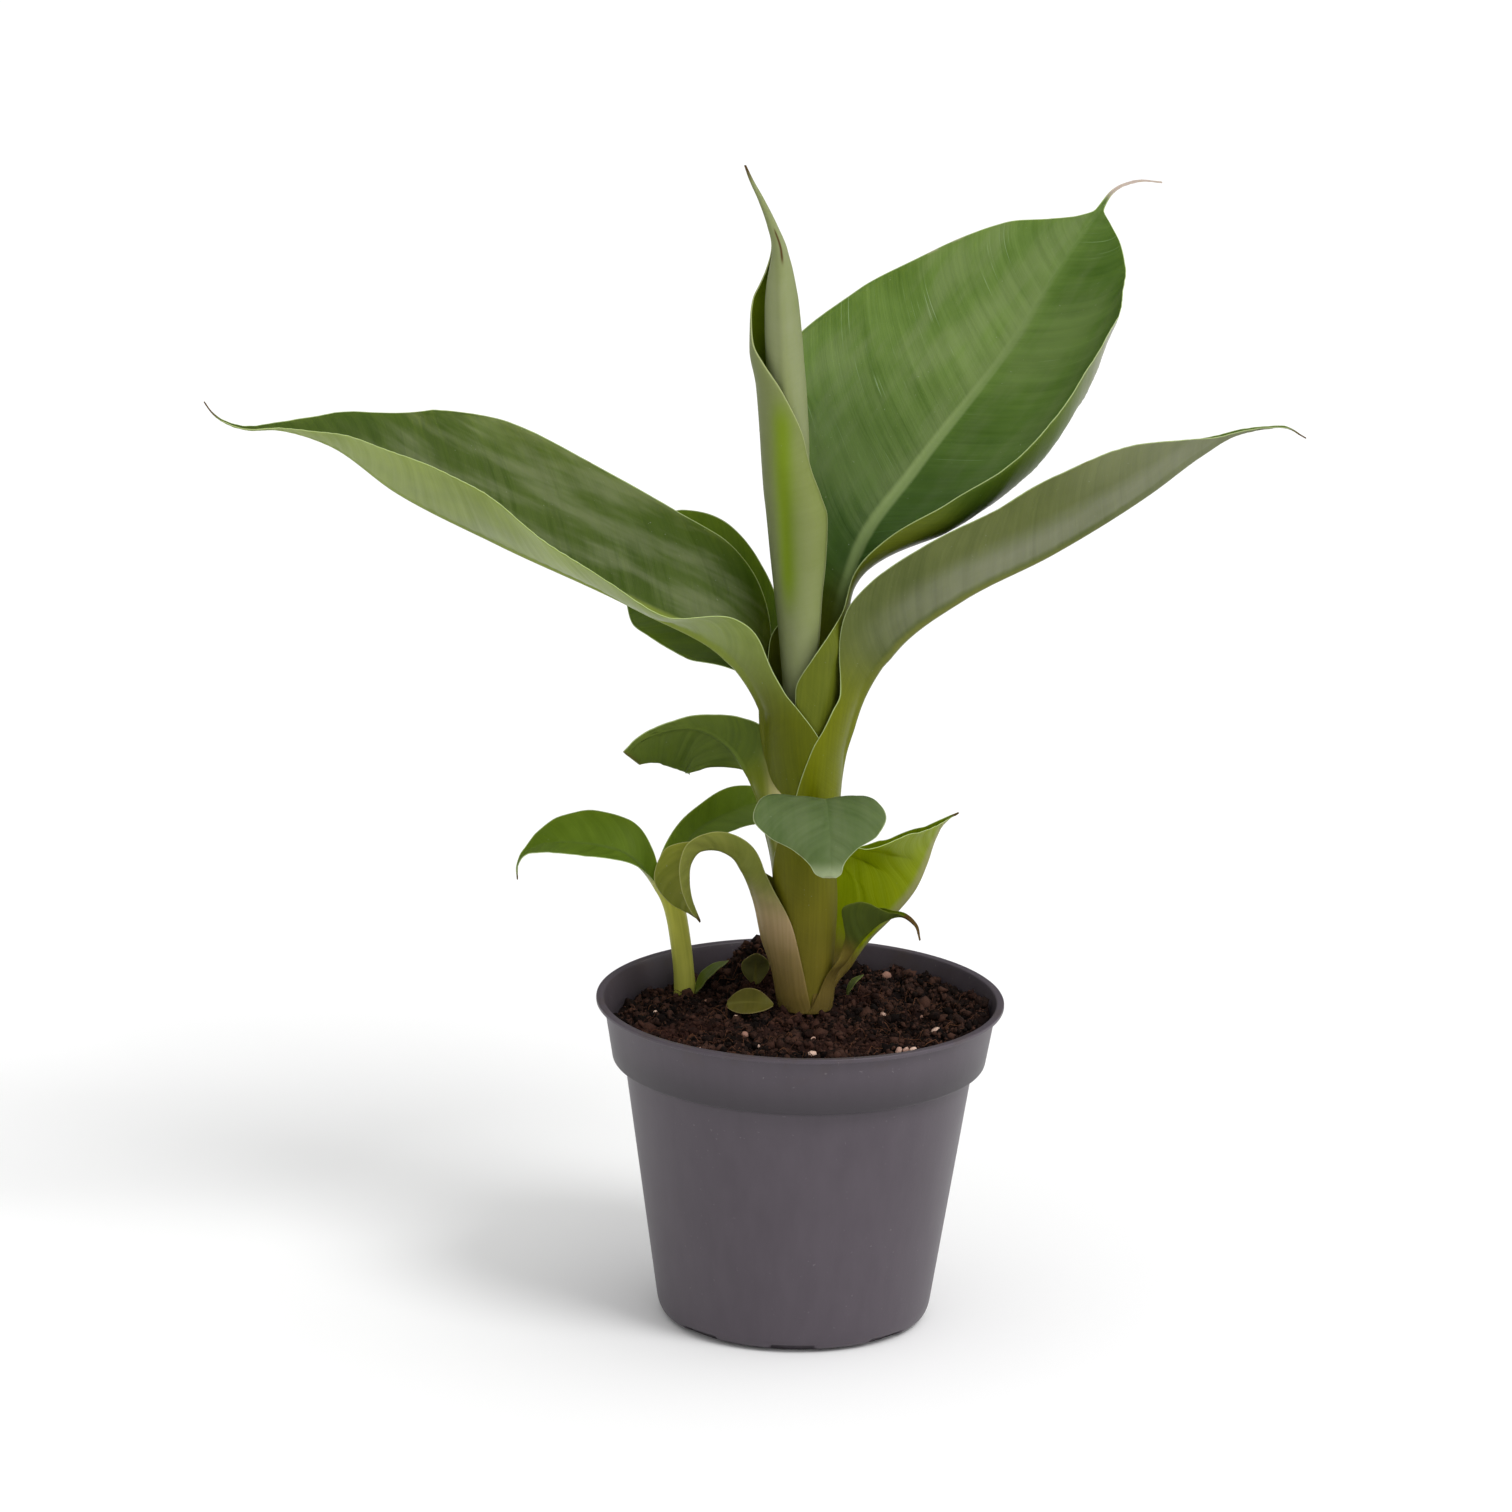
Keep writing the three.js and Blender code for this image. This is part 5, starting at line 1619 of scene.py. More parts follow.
def main_leaves() -> list[tuple[Leaf, LeafFinish]]:
    """The main shoot's leaves and their finishes, from the outermost sheath inwards."""
    return [
        (Leaf(
            "leaf_tiny_right", ("tiny_right_leaf",), -25,
            ((9, 94), (12, 104.5), (18.5, 115), (25.5, 121.3), (31, 123), (35, 120.8), (36.6, 116.5)),
            Half(((0, 3), (0.3, 4), (0.4, 6), (0.6, 6), (0.75, 2.2), (0.85, 1.2), (1, 0.5)),
                 ((0, 50), (0.5, 45), (1, 30)), ((0, 30), (1, 10))),
            Half(((0, 3), (0.24, 2.5), (0.34, 3.2), (0.42, 4.5), (0.49, 8), (0.57, 11.5), (0.65, 10),
                  (0.75, 2.6), (0.85, 1.2), (1, 0.5)), ((0, 50), (0.5, 55), (1, 30)), ((0, 30), (1, 10))),
            roll=((0, 0),), wrap=((90, 60, 60), (98, 34, 34), (108, 16, 16)), collar=(0.22, 0.36),
            leaves=(97, 108), foot=90.5, layer=0, wave=0.15, rows=120, columns=20, seed=71,
            keel=((0, 0.5), (0.5, 0.4), (1, 0.1))),
         LeafFinish(
            upper=(0.04, 0.065, 0.001), upper_light=(0.075, 0.11, 0.002), under=(0.04, 0.06, 0.001),
            under_light=(0.075, 0.105, 0.003), wax_amount=0.05, rib=(0.1, 0.13, 0.01), dry_from=0.8,
            sheath=(0.12, 0.115, 0.002), sheath_foot=(0.17, 0.12, 0.03), margin=(0.1, 0.12, 0.02),
            gloss=(0.9, 1.0, 0.1))),
        (Leaf(
            "leaf_hook", ("hook_leaf_sheath", "hook_leaf_blade"), 182,
            ((9.4, 92), (11, 104), (13, 113), (15.5, 124), (18.2, 131), (22, 137), (28, 139.3),
             (32.5, 138.3), (35, 134.5), (35.4, 129), (34.5, 123.5), (31.5, 116.3)),
            Half(((0, 9), (0.15, 9), (0.3, 8.4), (0.5, 6.9), (0.62, 6.5), (0.7, 5.2), (0.78, 3.6),
                  (0.88, 2.8), (0.95, 2), (1, 0.7)), ((0, 30), (0.3, 60), (0.6, 70), (0.8, 60), (1, 30)),
                 ((0, 60), (0.3, 30), (0.6, 20), (0.8, 5), (1, 10))),
            Half(((0, 9), (0.15, 8), (0.3, 4), (0.5, 2), (0.64, 1.4), (0.7, 2.6), (0.77, 9), (0.85, 11.5),
                  (0.92, 9), (0.97, 4), (1, 0.7)), ((0, 30), (0.3, 60), (0.6, 70), (0.8, 65), (1, 30)),
                 ((0, 60), (0.3, 30), (0.6, 20), (0.8, 5), (1, 10))),
            roll=((0, 0),),
            wrap=((90, 105, 105), (108, 80, 80), (117, 66, 70), (124, 51, 57), (132, 33, 38)),
            collar=(0.4, 0.56), pale=(0.3, 0.5), leaves=(95, 112), foot=90.5, layer=1, wave=0.25, rows=200,
            columns=24, seed=61, keel=((0, 0.6), (0.5, 0.9), (0.8, 0.6), (1, 0.2))),
         LeafFinish(
            upper=(0.1, 0.12, 0.007), upper_light=(0.19, 0.2, 0.025), under=(0.11, 0.13, 0.008),
            under_light=(0.2, 0.21, 0.03), rib=(0.2, 0.2, 0.05), rib_width=0.6, sheath=(0.78, 0.55, 0.35),
            sheath_foot=(0.2, 0.14, 0.035), wax_amount=0.05, margin=(0.34, 0.34, 0.13))),
        (Leaf(
            "leaf_low_right", ("low_right_leaf",), 20,
            ((9, 92), (13, 101), (19, 109.5), (27, 117), (33.5, 124.5), (37, 132), (39.5, 139), (42.5, 144),
             (47, 146.5)),
            Half(((0, 6), (0.2, 9), (0.3, 15), (0.42, 22), (0.6, 22.5), (0.78, 12.5), (0.88, 3.8),
                  (0.94, 1.2), (1, 0.5)), ((0, 60), (0.3, 55), (0.6, 50), (1, 30)),
                 ((0, 40), (0.3, 8), (1, 0))),
            Half(((0, 7), (0.1, 14), (0.2, 21), (0.32, 30), (0.44, 40), (0.56, 42.5), (0.66, 39.5),
                  (0.75, 31), (0.81, 22.5), (0.86, 12.5), (0.91, 3.6), (0.94, 1.2), (1, 0.5)),
                 ((0, 60), (0.3, 76), (0.6, 74), (1, 30)), ((0, 40), (0.3, 8), (1, 0))),
            roll=((0, 0),), wrap=((90, 100, 100), (100, 75, 85), (108, 50, 70)), collar=(0.05, 0.2),
            leaves=(93, 103), foot=90.5, layer=2, wave=0.3, rows=180, columns=28, seed=51, slot=Slot.YOUNG,
            keel=((0, 0.7), (0.5, 0.7), (1, 0.1))),
         LeafFinish(
            # The lower face's bright yellow-green is partly its own colour and partly painted light that
            # shines through the leaf from behind
            upper=(0.07, 0.11, 0.001), upper_light=(0.11, 0.16, 0.003), under=(0.13, 0.18, 0.0004),
            # The narrow pale band along the rib is partly wax bloom and partly a painted highlight where the
            # lower face curves round it
            under_light=(0.22, 0.27, 0.0006), wax_amount=0.85, wax=(0.26, 0.24, 0.13), wax_reach=6.0,
            wax_from=0.32, wax_tip=0.0, rib=(0.2, 0.19, 0.09), streaks=0.35, glow=0.25,
            gloss=(0.9, 1.0, 0.1), sheath=(0.2, 0.235, 0.001), sheath_foot=(0.17, 0.115, 0.03),
            dry_from=0.95)),
        (Leaf(
            "leaf_front", ("front_leaf",), 276,
            ((9, 118), (10.5, 135), (13, 150), (17, 158.5), (22, 161), (30, 159), (37, 152.5), (42, 143)),
            Half(((0, 5), (0.3, 4), (0.57, 3.4), (0.62, 11), (0.68, 15), (0.76, 17), (0.84, 14), (0.89, 8),
                  (0.95, 4), (0.985, 3.2), (1, 1.6)), ((0, 60), (0.5, 40), (0.6, 9), (0.8, 5), (1, 5)),
                 ((0, 50), (0.4, 10), (0.6, -6), (1, -10))),
            Half(((0, 5), (0.3, 4), (0.57, 3.4), (0.62, 15), (0.68, 20), (0.76, 22), (0.84, 17.5),
                  (0.89, 11), (0.95, 6), (0.985, 4.4), (1, 2.2)),
                 ((0, 60), (0.5, 40), (0.6, 9), (0.8, 5), (1, 5)),
                 ((0, 50), (0.4, 10), (0.6, -6), (1, -10))),
            roll=((0, 0),),
            wrap=((91, 150, 150), (105, 130, 130), (125, 95, 95), (141, 62, 62), (150, 30, 30)),
            collar=(0.4, 0.56), leaves=(130, 150), foot=90.5, layer=3, shift=(2.0, 0.0), wave=0.35,
            rows=220, columns=28, seed=41, keel=((0, 0.5), (0.5, 0.8), (1, 0.2))),
         LeafFinish(
            upper=(0.045, 0.08, 0.017), upper_light=(0.1, 0.145, 0.05), rib=(0.14, 0.2, 0.07),
            rib_width=0.5, sheath=(0.135, 0.135, 0.001), sheath_foot=(0.18, 0.145, 0.016), streaks=0.4,
            # Pale patches of painted sheen on the upper face
            margin=(0.4, 0.46, 0.26), dry_from=1.2, rough=0.5, gloss=(0.9, 1.0, 0.7), haze=0.12,
            pale_tip=0.5)),
        (Leaf(
            "leaf_small_left", ("small_left_leaf",), 178,
            ((9, 120), (12, 142), (15, 154), (19, 163), (24, 170), (33, 175), (43, 174), (50.5, 170.3),
             (54.5, 166.5)),
            Half(((0, 5), (0.3, 5.5), (0.42, 8.5), (0.5, 12), (0.57, 12.5), (0.64, 9.5), (0.72, 5),
                  (0.83, 2.4), (0.93, 1.6), (1, 1)), ((0, 60), (0.36, 68), (0.48, 34), (0.58, 4), (1, -6)),
                 ((0, 50), (0.4, 10), (1, 6))),
            Half(((0, 5), (0.3, 3), (0.46, 3), (0.51, 6), (0.57, 11), (0.66, 17.5), (0.75, 19),
                  (0.84, 17.5), (0.93, 13.5), (1, 7)), ((0, 60), (0.36, 60), (0.48, 22), (0.56, 2), (1, 4)),
                 ((0, 50), (0.4, 10), (1, 8))),
            roll=((0, 0), (0.36, 0), (0.5, -46), (0.6, -72), (1, -66)),
            wrap=((91, 150, 150), (125, 130, 130), (145, 105, 100), (157, 80, 68), (161, 67, 52),
                  (163.7, 53, 40), (167.5, 36, 24), (172, 14, 14)), collar=(0.4, 0.53), leaves=(125, 145),
            foot=90.5, layer=4, wave=0.35, rows=220, columns=26, seed=31, pale=(0.44, 0.56),
            keel=((0, 0.5), (0.5, 0.8), (1, 0.2))),
         LeafFinish(
            upper=(0.03, 0.052, 0.003), upper_light=(0.07, 0.105, 0.01), under=(0.038, 0.066, 0.001),
            under_light=(0.085, 0.125, 0.004), rib=(0.12, 0.17, 0.03), rib_width=1.0, wax_amount=0.05,
            sheath=(0.46, 0.41, 0.2), sheath_foot=(0.4, 0.32, 0.15), stalk=(0.14, 0.165, 0.01),
            stalk_width=7.5, dry_from=0.985, gloss=(0.9, 1.0, 0.2))),
        (Leaf(
            "leaf_right", ("right_leaf",), -6,
            ((8, 150), (10.3, 172), (14.8, 188), (24.4, 203.5), (43, 218.7), (69, 233.5), (97, 252.8),
             (112, 265), (121, 271), (130, 273.5), (136, 274), (142, 271)),
            Half(((0, 8), (0.14, 7.5), (0.22, 9.5), (0.32, 13), (0.5, 16.5), (0.65, 16.5), (0.77, 11.5),
                  (0.84, 5), (0.88, 2), (0.93, 1), (1, 0.5)),
                 ((0, 60), (0.3, 55), (0.5, 50), (0.8, 45), (1, 30)),
                 ((0, 70), (0.3, 20), (0.6, 14), (1, 0))),
            Half(((0, 8), (0.1, 8), (0.16, 12), (0.22, 16), (0.28, 19), (0.34, 20.5), (0.42, 21),
                  (0.5, 21.5), (0.6, 23), (0.68, 22.5), (0.77, 17), (0.84, 7.5), (0.88, 2), (0.93, 1),
                  (1, 0.5)), ((0, 60), (0.3, 66), (0.5, 62), (0.8, 56), (1, 30)),
                 ((0, 70), (0.3, 20), (0.6, 14), (1, 0))),
            roll=((0, 0),),
            wrap=((128, 150, 150), (150, 110, 110), (164, 88, 88), (169.7, 78, 78), (173.4, 70, 71),
                  (178.6, 52, 57), (184.3, 36, 45), (188, 24, 34), (192, 20, 31)), collar=(0.16, 0.3),
            pale=(0.16, 0.29), leaves=(158, 178), foot=126.0, layer=5, rows=280, columns=34, seed=21,
            keel=((0, 1.4), (0.3, 1.8), (0.6, 1.1), (0.9, 0.4), (1, 0.1))),
         LeafFinish(
            upper=(0.045, 0.085, 0.008), upper_light=(0.08, 0.13, 0.02), under=(0.068, 0.086, 0.024),
            # The pale band beside the rib is partly wax bloom and partly a painted highlight where the lower
            # face curves round it
            under_light=(0.12, 0.14, 0.045), wax=(0.34, 0.34, 0.28), wax_amount=0.4, wax_reach=16.0,
            wax_from=0.2, wax_gap=2.6, rib=(0.15, 0.16, 0.03), rib_width=1.2, sheath=(0.14, 0.155, 0.002),
            dry_from=0.955)),
        (Leaf(
            "leaf_left", ("left_leaf",), 190,
            ((9, 150), (11, 166), (14.6, 183), (24.2, 198), (52, 215), (93, 235), (123, 251), (144, 266),
             (158, 270.5), (169, 271), (177, 275), (180, 279)),
            Half(((0, 8), (0.12, 7), (0.19, 10), (0.26, 22), (0.33, 30), (0.42, 32), (0.6, 32), (0.72, 26),
                  (0.8, 15), (0.86, 5), (0.9, 2), (0.95, 1), (1, 0.5)),
                 ((0, 60), (0.2, 44), (0.27, 33), (0.37, 12), (0.45, 19), (0.57, 29), (0.72, 42), (0.9, 40),
                  (1, 20)), ((0, 70), (0.25, 24), (0.5, 18), (1, 0))),
            Half(((0, 8), (0.12, 7), (0.2, 17), (0.3, 31), (0.42, 34), (0.6, 37), (0.72, 29), (0.8, 16),
                  (0.86, 6), (0.9, 2.2), (0.95, 1), (1, 0.5)),
                 ((0, 60), (0.25, 40), (0.4, 32), (0.7, 32), (0.9, 25), (1, 20)),
                 ((0, 70), (0.25, 24), (0.5, 18), (1, 0))),
            roll=((0, 0), (0.25, 10), (0.5, 14), (1, 10)),
            wrap=((128, 150, 150), (160, 135, 120), (174, 108, 90), (179.5, 92, 75), (185.2, 72, 57),
                  (188.6, 58, 48), (198, 40, 40)), collar=(0.13, 0.26), pale=(0.13, 0.27),
            leaves=(160, 180), foot=126.0, layer=6, rows=300, columns=34, seed=17,
            keel=((0, 1.4), (0.3, 1.8), (0.6, 1.1), (0.9, 0.4), (1, 0.1))),
         LeafFinish(
            upper=(0.022, 0.046, 0.002), upper_light=(0.05, 0.084, 0.009), under=(0.13, 0.175, 0.016),
            under_light=(0.21, 0.265, 0.045), wax_amount=0.12, rib=(0.2, 0.25, 0.03), rib_width=2.0,
            # Pale patches of painted sheen on the upper face, ending before the tip
            sheath=(0.095, 0.108, 0.002), glow=0.22, dry_from=0.955, haze=0.36, haze_to=0.85)),
        (Leaf(
            "leaf_back", ("back_leaf",), 135,
            ((9, 165), (11, 182), (16, 193), (27, 203), (44, 212), (61, 216), (76, 215)),
            Half(((0, 7), (0.2, 9), (0.32, 18), (0.5, 24), (0.7, 25.5), (0.85, 21.5), (0.95, 13), (1, 3)),
                 ((0, 60), (0.3, 30), (0.6, 14), (1, 10)), ((0, 50), (0.3, 10), (1, 0))),
            Half(((0, 7), (0.2, 5.5), (0.32, 7.5), (0.5, 13), (0.7, 17), (0.85, 14), (0.95, 7), (1, 1)),
                 ((0, 60), (0.3, 30), (0.6, 14), (1, 10)), ((0, 50), (0.3, 10), (1, 0))),
            roll=((0, 0), (0.25, 20), (0.45, 50), (1, 56)),
            wrap=((150, 150, 150), (170, 110, 110), (185, 60, 60)), collar=(0.1, 0.3), leaves=(172, 188),
            foot=150.0, layer=7, sink=((150, 0.0), (168, 0.7), (195, 0.7), (202, 0.0)), rows=180,
            columns=26, seed=13),
         LeafFinish(
            upper=(0.045, 0.085, 0.002), upper_light=(0.08, 0.13, 0.005), under=(0.02, 0.035, 0.005),
            under_light=(0.04, 0.06, 0.01), wax_amount=0.05)),
        (Leaf(
            "leaf_broad", ("broad_leaf",), 45,
            ((9, 165), (10.5, 200), (18.5, 228), (41, 248), (79, 278), (104, 303), (115, 313), (122, 319),
             (131, 320.5), (143, 318.5)),
            Half(((0, 7), (0.16, 6), (0.23, 10), (0.33, 40), (0.45, 52), (0.58, 46), (0.7, 34), (0.78, 21),
                  (0.82, 10.5), (0.85, 3.6), (0.87, 1.0), (0.9, 0.6), (1, 0.4)),
                 ((0, 60), (0.2, 50), (0.3, 22), (0.5, 12), (0.8, 14), (1, 5)),
                 ((0, 60), (0.25, 10), (0.5, -10), (0.8, 0), (1, 0))),
            Half(((0, 7), (0.16, 6), (0.24, 12), (0.34, 43.5), (0.48, 52), (0.6, 48), (0.7, 36.5),
                  (0.77, 26), (0.81, 18.5), (0.84, 12), (0.86, 5.5), (0.874, 1.2), (0.9, 0.6), (1, 0.4)),
                 ((0, 60), (0.2, 50), (0.3, 22), (0.5, 12), (0.8, 14), (1, 5)),
                 ((0, 60), (0.2, 60), (0.3, 126), (0.45, 120), (0.6, 116), (0.76, 60), (0.85, 10), (1, 0)),
                 2.4),
            roll=((0, 0), (0.2, -10), (0.35, -32), (0.8, -36), (1, -30)),
            wrap=((150, 150, 150), (190, 140, 149), (200, 110, 125), (209, 80, 94), (214, 50, 55),
                  (218, 35, 35)), collar=(0.16, 0.27), leaves=(185, 205), foot=150.0, layer=8, wave=0.22,
            rows=300, columns=40, seed=9, sink=((150, 0.0), (168, 1.2), (195, 1.2), (204, 0.2), (210, 0.0)),
            keel=((0, 1.4), (0.3, 1.6), (0.6, 1.0), (0.9, 0.3), (1, 0.1))),
         LeafFinish(
            upper=(0.052, 0.108, 0.012), upper_light=(0.125, 0.2, 0.045), under=(0.06, 0.1, 0.006),
            under_light=(0.1, 0.14, 0.02), wax_amount=0.85, wax_from=0.46, wax=(0.52, 0.49, 0.48),
            # Darker towards the foot, partly a darker green and partly painted shade
            rib=(0.2, 0.27, 0.1), rib_width=2.0, sheath=(0.11, 0.13, 0.01), dry_from=0.885, deep=1.0,
            # Pale patches of painted sheen on the upper face
            haze=0.2, scratches=0.5, streaks=0.5, right_dark=0.6, dry=(0.42, 0.34, 0.3))),
    ]


@dataclass
class Sucker:
    """The small side shoot with its two leaves."""

    stem: Stem = field(default_factory=lambda: Stem(*SIDE_FOOT, (
        (86, 0, 3.1), (88.3, 0, 3.2), (96, -0.6, 3.0), (110, -2.6, 3.05), (120, -4.6, 3.0), (127, -5.5, 2.8),
        (140, -6.0, 2.4)), (124.0, 124.0), 0.2))

    def leaves(self) -> list[tuple[Leaf, LeafFinish]]:
        """The two leaves and their finishes."""
        half = Half(((0, 3), (0.2, 4), (0.3, 7), (0.42, 11), (0.55, 11.5), (0.68, 9), (0.8, 4), (0.86, 1.5),
                     (0.92, 0.8), (1, 0.4)),
                    ((0, 40), (0.3, 24), (0.6, 20), (1, 10)), ((0, 30), (0.5, 6), (1, 0)))
        finish = LeafFinish(
            upper=(0.07, 0.12, 0.004), upper_light=(0.115, 0.18, 0.012), under=(0.06, 0.09, 0.004),
            under_light=(0.1, 0.13, 0.012), wax_amount=0.06, rib_width=0.8, rib=(0.09, 0.14, 0.02),
            sheath=(0.44, 0.44, 0.03), sheath_foot=(0.5, 0.5, 0.09), dry_from=0.95)
        return [
            (Leaf(
                "leaf_sucker_left", ("sucker_left_leaf",), 184,
                ((0.5, 110), (1.5, 115), (5, 122.5), (13, 131), (19.5, 133.2), (27, 134.3), (33, 134.6),
                 (39, 133.3), (43.5, 130.5), (45, 127), (45, 123)),
                half, half, roll=((0, 0), (0.3, 22), (0.8, 26), (1, 10)),
                wrap=((86, 160, 160), (112, 150, 150), (124, 60, 60)), collar=(0.04, 0.2), leaves=(108, 122),
                foot=87.0, layer=0, wave=0.3, rows=190, columns=24, seed=83,
                keel=((0, 0.4), (0.5, 0.5), (1, 0.1))), finish),
            (Leaf(
                "leaf_sucker_right", ("sucker_right_leaf",), 25,
                ((0, 110), (0.5, 122), (4, 131), (9, 137), (16, 140.5), (28, 143.5), (40, 143)),
                Half(((0, 3), (0.2, 5), (0.32, 5.5), (0.5, 6), (0.7, 7.5), (0.9, 4), (1, 0.5)),
                     ((0, 40), (0.3, 20), (1, 10)), ((0, 30), (1, 5))),
                Half(((0, 3), (0.2, 4), (0.32, 7), (0.5, 10), (0.7, 10), (0.9, 5), (1, 0.5)),
                     ((0, 40), (0.3, 20), (1, 10)), ((0, 30), (1, 5))),
                roll=((0, 0), (0.3, -25), (1, -32)),
                wrap=((86, 160, 160), (116, 150, 150), (128, 60, 60)), collar=(0.1, 0.3), leaves=(112, 126),
                foot=87.0, layer=1, wave=0.3, rows=170, columns=22, seed=87,
                keel=((0, 0.4), (0.5, 0.5), (1, 0.1))), finish),
        ]

    def build(self, palette: Palette) -> None:
        """Makes the small stem and its leaves."""
        core = self.stem.core(86.0, 128.0, 40, 40).mesh("sucker_core")
        finish = LeafFinish(sheath=(0.44, 0.44, 0.03), sheath_foot=(0.5, 0.5, 0.09))
        dress(core, palette.leaf("sucker core", finish), Slot.SHEATH, "sucker_stem")
        for leaf, leaf_finish in self.leaves():
            made = leaf.grow(self.stem, SIDE_CROWN).mesh(leaf.name)
            dress(made, palette.leaf(leaf.name.replace("_", " "), leaf_finish), Slot.LEAF, *leaf.nodes)


@dataclass
class Ground:
    """The pot, the peat in it and the scale leaves that stand on the peat."""

    pot: Pot = field(default_factory=Pot)
    soil: Soil = field(default_factory=Soil)
    scales: tuple[ScaleLeaf, ...] = (
        ScaleLeaf("scale_leaf_1", -31, 27.5, 20, 42, 14, 3.2, 1.5),
        ScaleLeaf("scale_leaf_2", -13.3, 30.5, 275, 75, 10.5, 4.2, 1.2, dull=True),
        ScaleLeaf("scale_leaf_3", -21.5, 7.0, -12, 4, 14, 4.4, 1.4, 2.2, 44, dull=True),
        ScaleLeaf("scale_leaf_4", 13.8, 22, 15, 50, 8, 2, 0.8, slot=Slot.YOUNG),
    )
    dull: LeafFinish = LeafFinish(
        upper=(0.055, 0.048, 0.006), upper_light=(0.1, 0.088, 0.013), under=(0.05, 0.05, 0.007),
        under_light=(0.09, 0.085, 0.012), wax_amount=0.05, rib=(0.12, 0.11, 0.02), rib_width=0.4,
        dry_from=0.97, margin=(0.2, 0.16, 0.06))
    green: LeafFinish = LeafFinish(
        upper=(0.05, 0.075, 0.008), upper_light=(0.09, 0.12, 0.015), under=(0.05, 0.07, 0.01),
        under_light=(0.08, 0.11, 0.02), wax_amount=0.05, rib=(0.1, 0.12, 0.02), rib_width=0.4,
        dry_from=0.99, margin=(0.15, 0.17, 0.05))

    def build(self, palette: Palette) -> None:
        """Makes the pot, the soil with its crumbs, fibres and granules, and the scale leaves.

        Args:
            palette: the shared materials.
        """
        pot, soil = self.pot, self.soil
        dress(pot.turn().mesh("pot_wall"), palette.plastic(PlasticFinish()), Slot.POT, "pot")
        for name, skin, title, finish, nodes in (
            ("peat_top", soil.top(pot), "peat", PeatFinish((0.0035, 0.0012, 0.0009), (0.022, 0.009, 0.006)),
             ("soil",)),
            ("peat_crumbs", soil.crumbs(pot), "peat crumbs",
             PeatFinish((0.0045, 0.002, 0.0014), (0.06, 0.027, 0.018)), ()),
            ("root_fibres", soil.fibres(pot), "fibre",
             PeatFinish((0.04, 0.015, 0.008), (0.14, 0.06, 0.03), (0.09, 0.035, 0.02)), ()),
            ("granules", soil.granules(pot), "granule",
             PeatFinish((0.3, 0.16, 0.12), (0.7, 0.5, 0.4), (0.5, 0.25, 0.18), 0.7), ()),
        ):
            dress(skin.mesh(name), palette.peat(title, finish), Slot.PEAT, *nodes)
        green, dull = palette.leaf("scale green", self.green), palette.leaf("scale dull", self.dull)
        for scale in self.scales:
            seat = float(self.soil.height(np.array(scale.x), np.array(scale.y)))
            made = scale.grow(seat).mesh("sheet_" + scale.name)
            dress(made, dull if scale.dull else green, scale.slot, scale.name)


# Studio


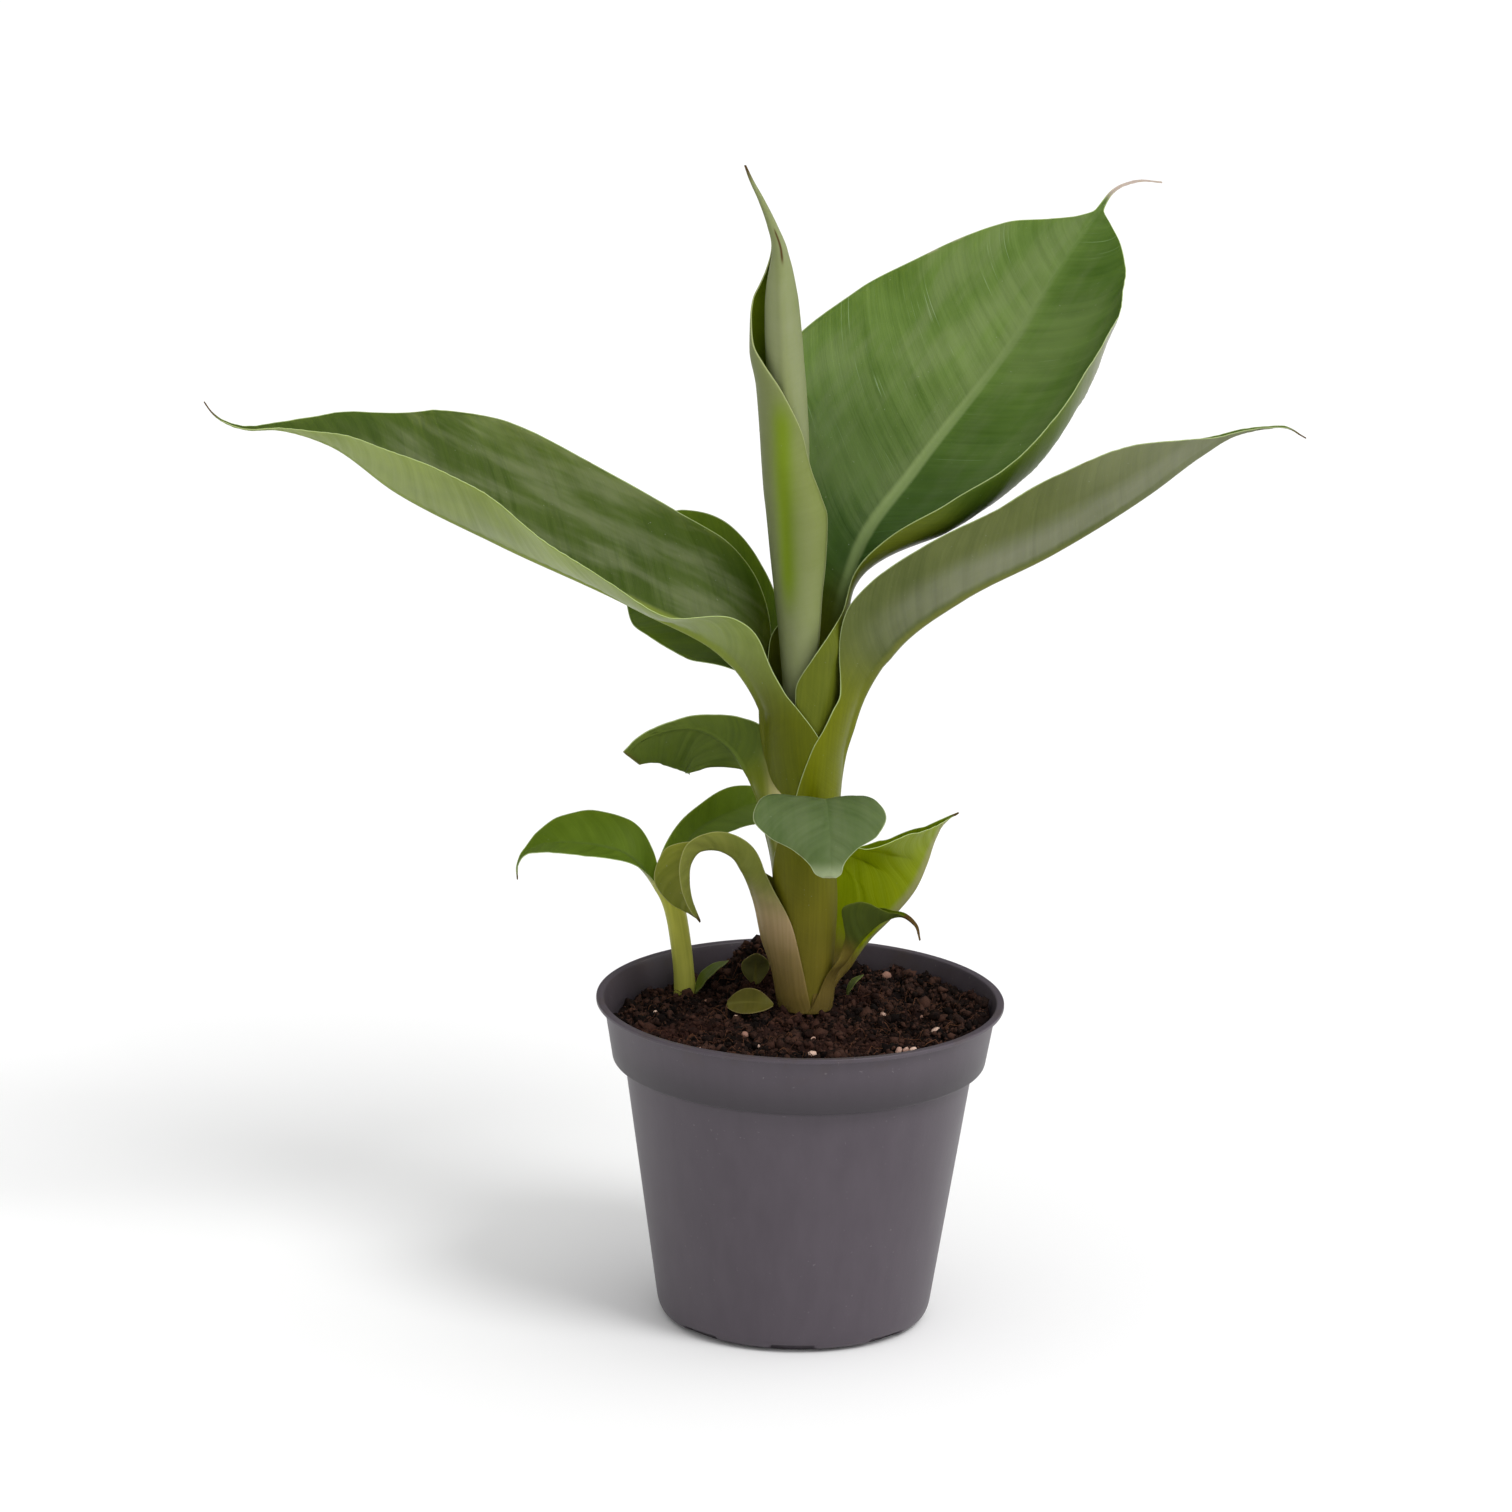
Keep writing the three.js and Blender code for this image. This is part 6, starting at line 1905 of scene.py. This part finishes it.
@dataclass(frozen=True)
class Studio:
    """Camera, floor and light that match the photograph.

    The camera looks from a little above through a long lens. Its picture is 1512 pixels square, scale is
    pixels per millimetre at the origin, and base is where the origin falls in the picture. The surroundings
    are white to the camera. Their soft light and their reflections are lobes: a direction, the cosines to it
    between which the strength changes, and the strength there.
    """

    picture: float = 1512.0
    elevation: float = 16.3
    roll: float = 1.25
    distance: float = 3500.0
    scale: float = 3.375
    base: tuple[float, float] = (793.0, 1310.0)
    sensor: float = 36.0
    floor_half: float = 30.0
    floor_drop: float = 0.1
    white: float = 0.92
    soft: tuple = ((0.62, -0.42, 0.66), -0.7, 1.0, 0.4, 1.05)
    shines: tuple = (((0.93, -0.1, 0.35), 0.72, 0.98, 0.16, 1.5), ((-0.35, 0.1, 0.93), 0.6, 0.95, 0.0, 0.7))
    key_energy: float = 1.35
    key_size: float = 24.0
    key_azimuth: float = -42.0
    key_elevation: float = 49.0

    def camera(self) -> None:
        """Places the camera so that the origin falls on its picture point."""
        e, roll = math.radians(self.elevation), math.radians(self.roll)
        forward = np.array([0.0, math.cos(e), -math.sin(e)])
        right, up = np.array([1.0, 0.0, 0.0]), np.array([0.0, math.sin(e), math.cos(e)])
        right, up = swing(right, up, roll)
        focal = self.scale * self.distance
        dx = (self.base[0] - self.picture / 2) / focal
        dy = -(self.base[1] - self.picture / 2) / focal
        place = -(forward + right * dx + up * dy) * self.distance * MM
        data = bpy.data.cameras.new("camera")
        data.sensor_width = self.sensor
        data.lens = focal * self.sensor / self.picture
        data.clip_end = 200.0
        camera = bpy.data.objects.new("camera", data)
        self.stand(camera, right, up, -forward, place)
        bpy.context.scene.camera = camera

    def stand(self, thing: bpy.types.Object, *columns: np.ndarray) -> None:
        """Links an object and stands it by its three axes and its place."""
        rows = np.stack(columns, 1)
        thing.matrix_world = Matrix([*rows.tolist(), [0.0, 0.0, 0.0, 1.0]])
        bpy.context.scene.collection.objects.link(thing)

    def floor(self) -> None:
        """A wide white floor that takes the soft shadow."""
        s, z = self.floor_half / MM, -self.floor_drop
        corners = np.array([[-s, -s, z], [s, -s, z], [s, s, z], [-s, s, z]])
        floor = Skin(corners, [np.array([[0, 1, 2, 3]])]).mesh("floor", False)
        material = bpy.data.materials.new("floor")
        material.use_nodes = True
        Graph(material.node_tree).fill(material.node_tree.nodes["Principled BSDF"], {
            "Base Color": (self.white,) * 3, "Roughness": 1.0, "Specular IOR Level": 0.0})
        floor.data.materials.append(material)

    def light(self) -> None:
        """White surroundings that are brighter to the right, and a wide soft key from the right front."""
        world = bpy.data.worlds.new("studio")
        world.use_nodes = True
        bpy.context.scene.world = world
        g = Graph(world.node_tree)
        way = g.node("ShaderNodeTexCoord").outputs["Generated"]

        def lobe(direction: tuple, low: float, high: float, out_low: float, out_high: float) -> Source:
            facing = g.node("ShaderNodeVectorMath", {0: way, 1: direction}, operation="DOT_PRODUCT")
            return g.step(low, high, facing.outputs["Value"], out_low, out_high)

        ray = g.node("ShaderNodeLightPath").outputs
        glossy = ray["Is Glossy Ray"]
        shine = g.plus(*(lobe(*row) for row in self.shines))
        strength = g.plus(g.times(glossy, shine), g.times(g.rest(glossy), lobe(*self.soft)))
        g.fill(world.node_tree.nodes["Background"], {
            "Color": (1.0, 1.0, 1.0), "Strength": g.math("MAXIMUM", strength, ray["Is Camera Ray"])})
        key = bpy.data.lights.new("key", "SUN")
        key.energy = self.key_energy
        key.angle = math.radians(self.key_size)
        azimuth, elevation = math.radians(self.key_azimuth), math.radians(self.key_elevation)
        source = np.array([math.cos(elevation) * math.cos(azimuth), math.cos(elevation) * math.sin(azimuth),
                           math.sin(elevation)])
        side = np.cross([0.0, 0.0, 1.0], source)
        side /= np.linalg.norm(side)
        self.stand(bpy.data.objects.new("key", key), side, np.cross(source, side), source, 2.0 * source)

    def build(self) -> None:
        """Sets the picture's tones and adds camera, floor and light."""
        view = bpy.context.scene.view_settings
        view.view_transform = "Standard"
        view.look = "None"
        self.camera()
        self.floor()
        self.light()


def main() -> None:
    """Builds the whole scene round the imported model."""
    logging.basicConfig(level=logging.INFO, format="%(message)s")
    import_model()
    Studio().build()
    palette = Palette()
    Ground().build(palette)
    MainShoot().build(palette)
    Sucker().build(palette)
    bpy.context.view_layer.update()


if __name__ == "__main__":
    main()
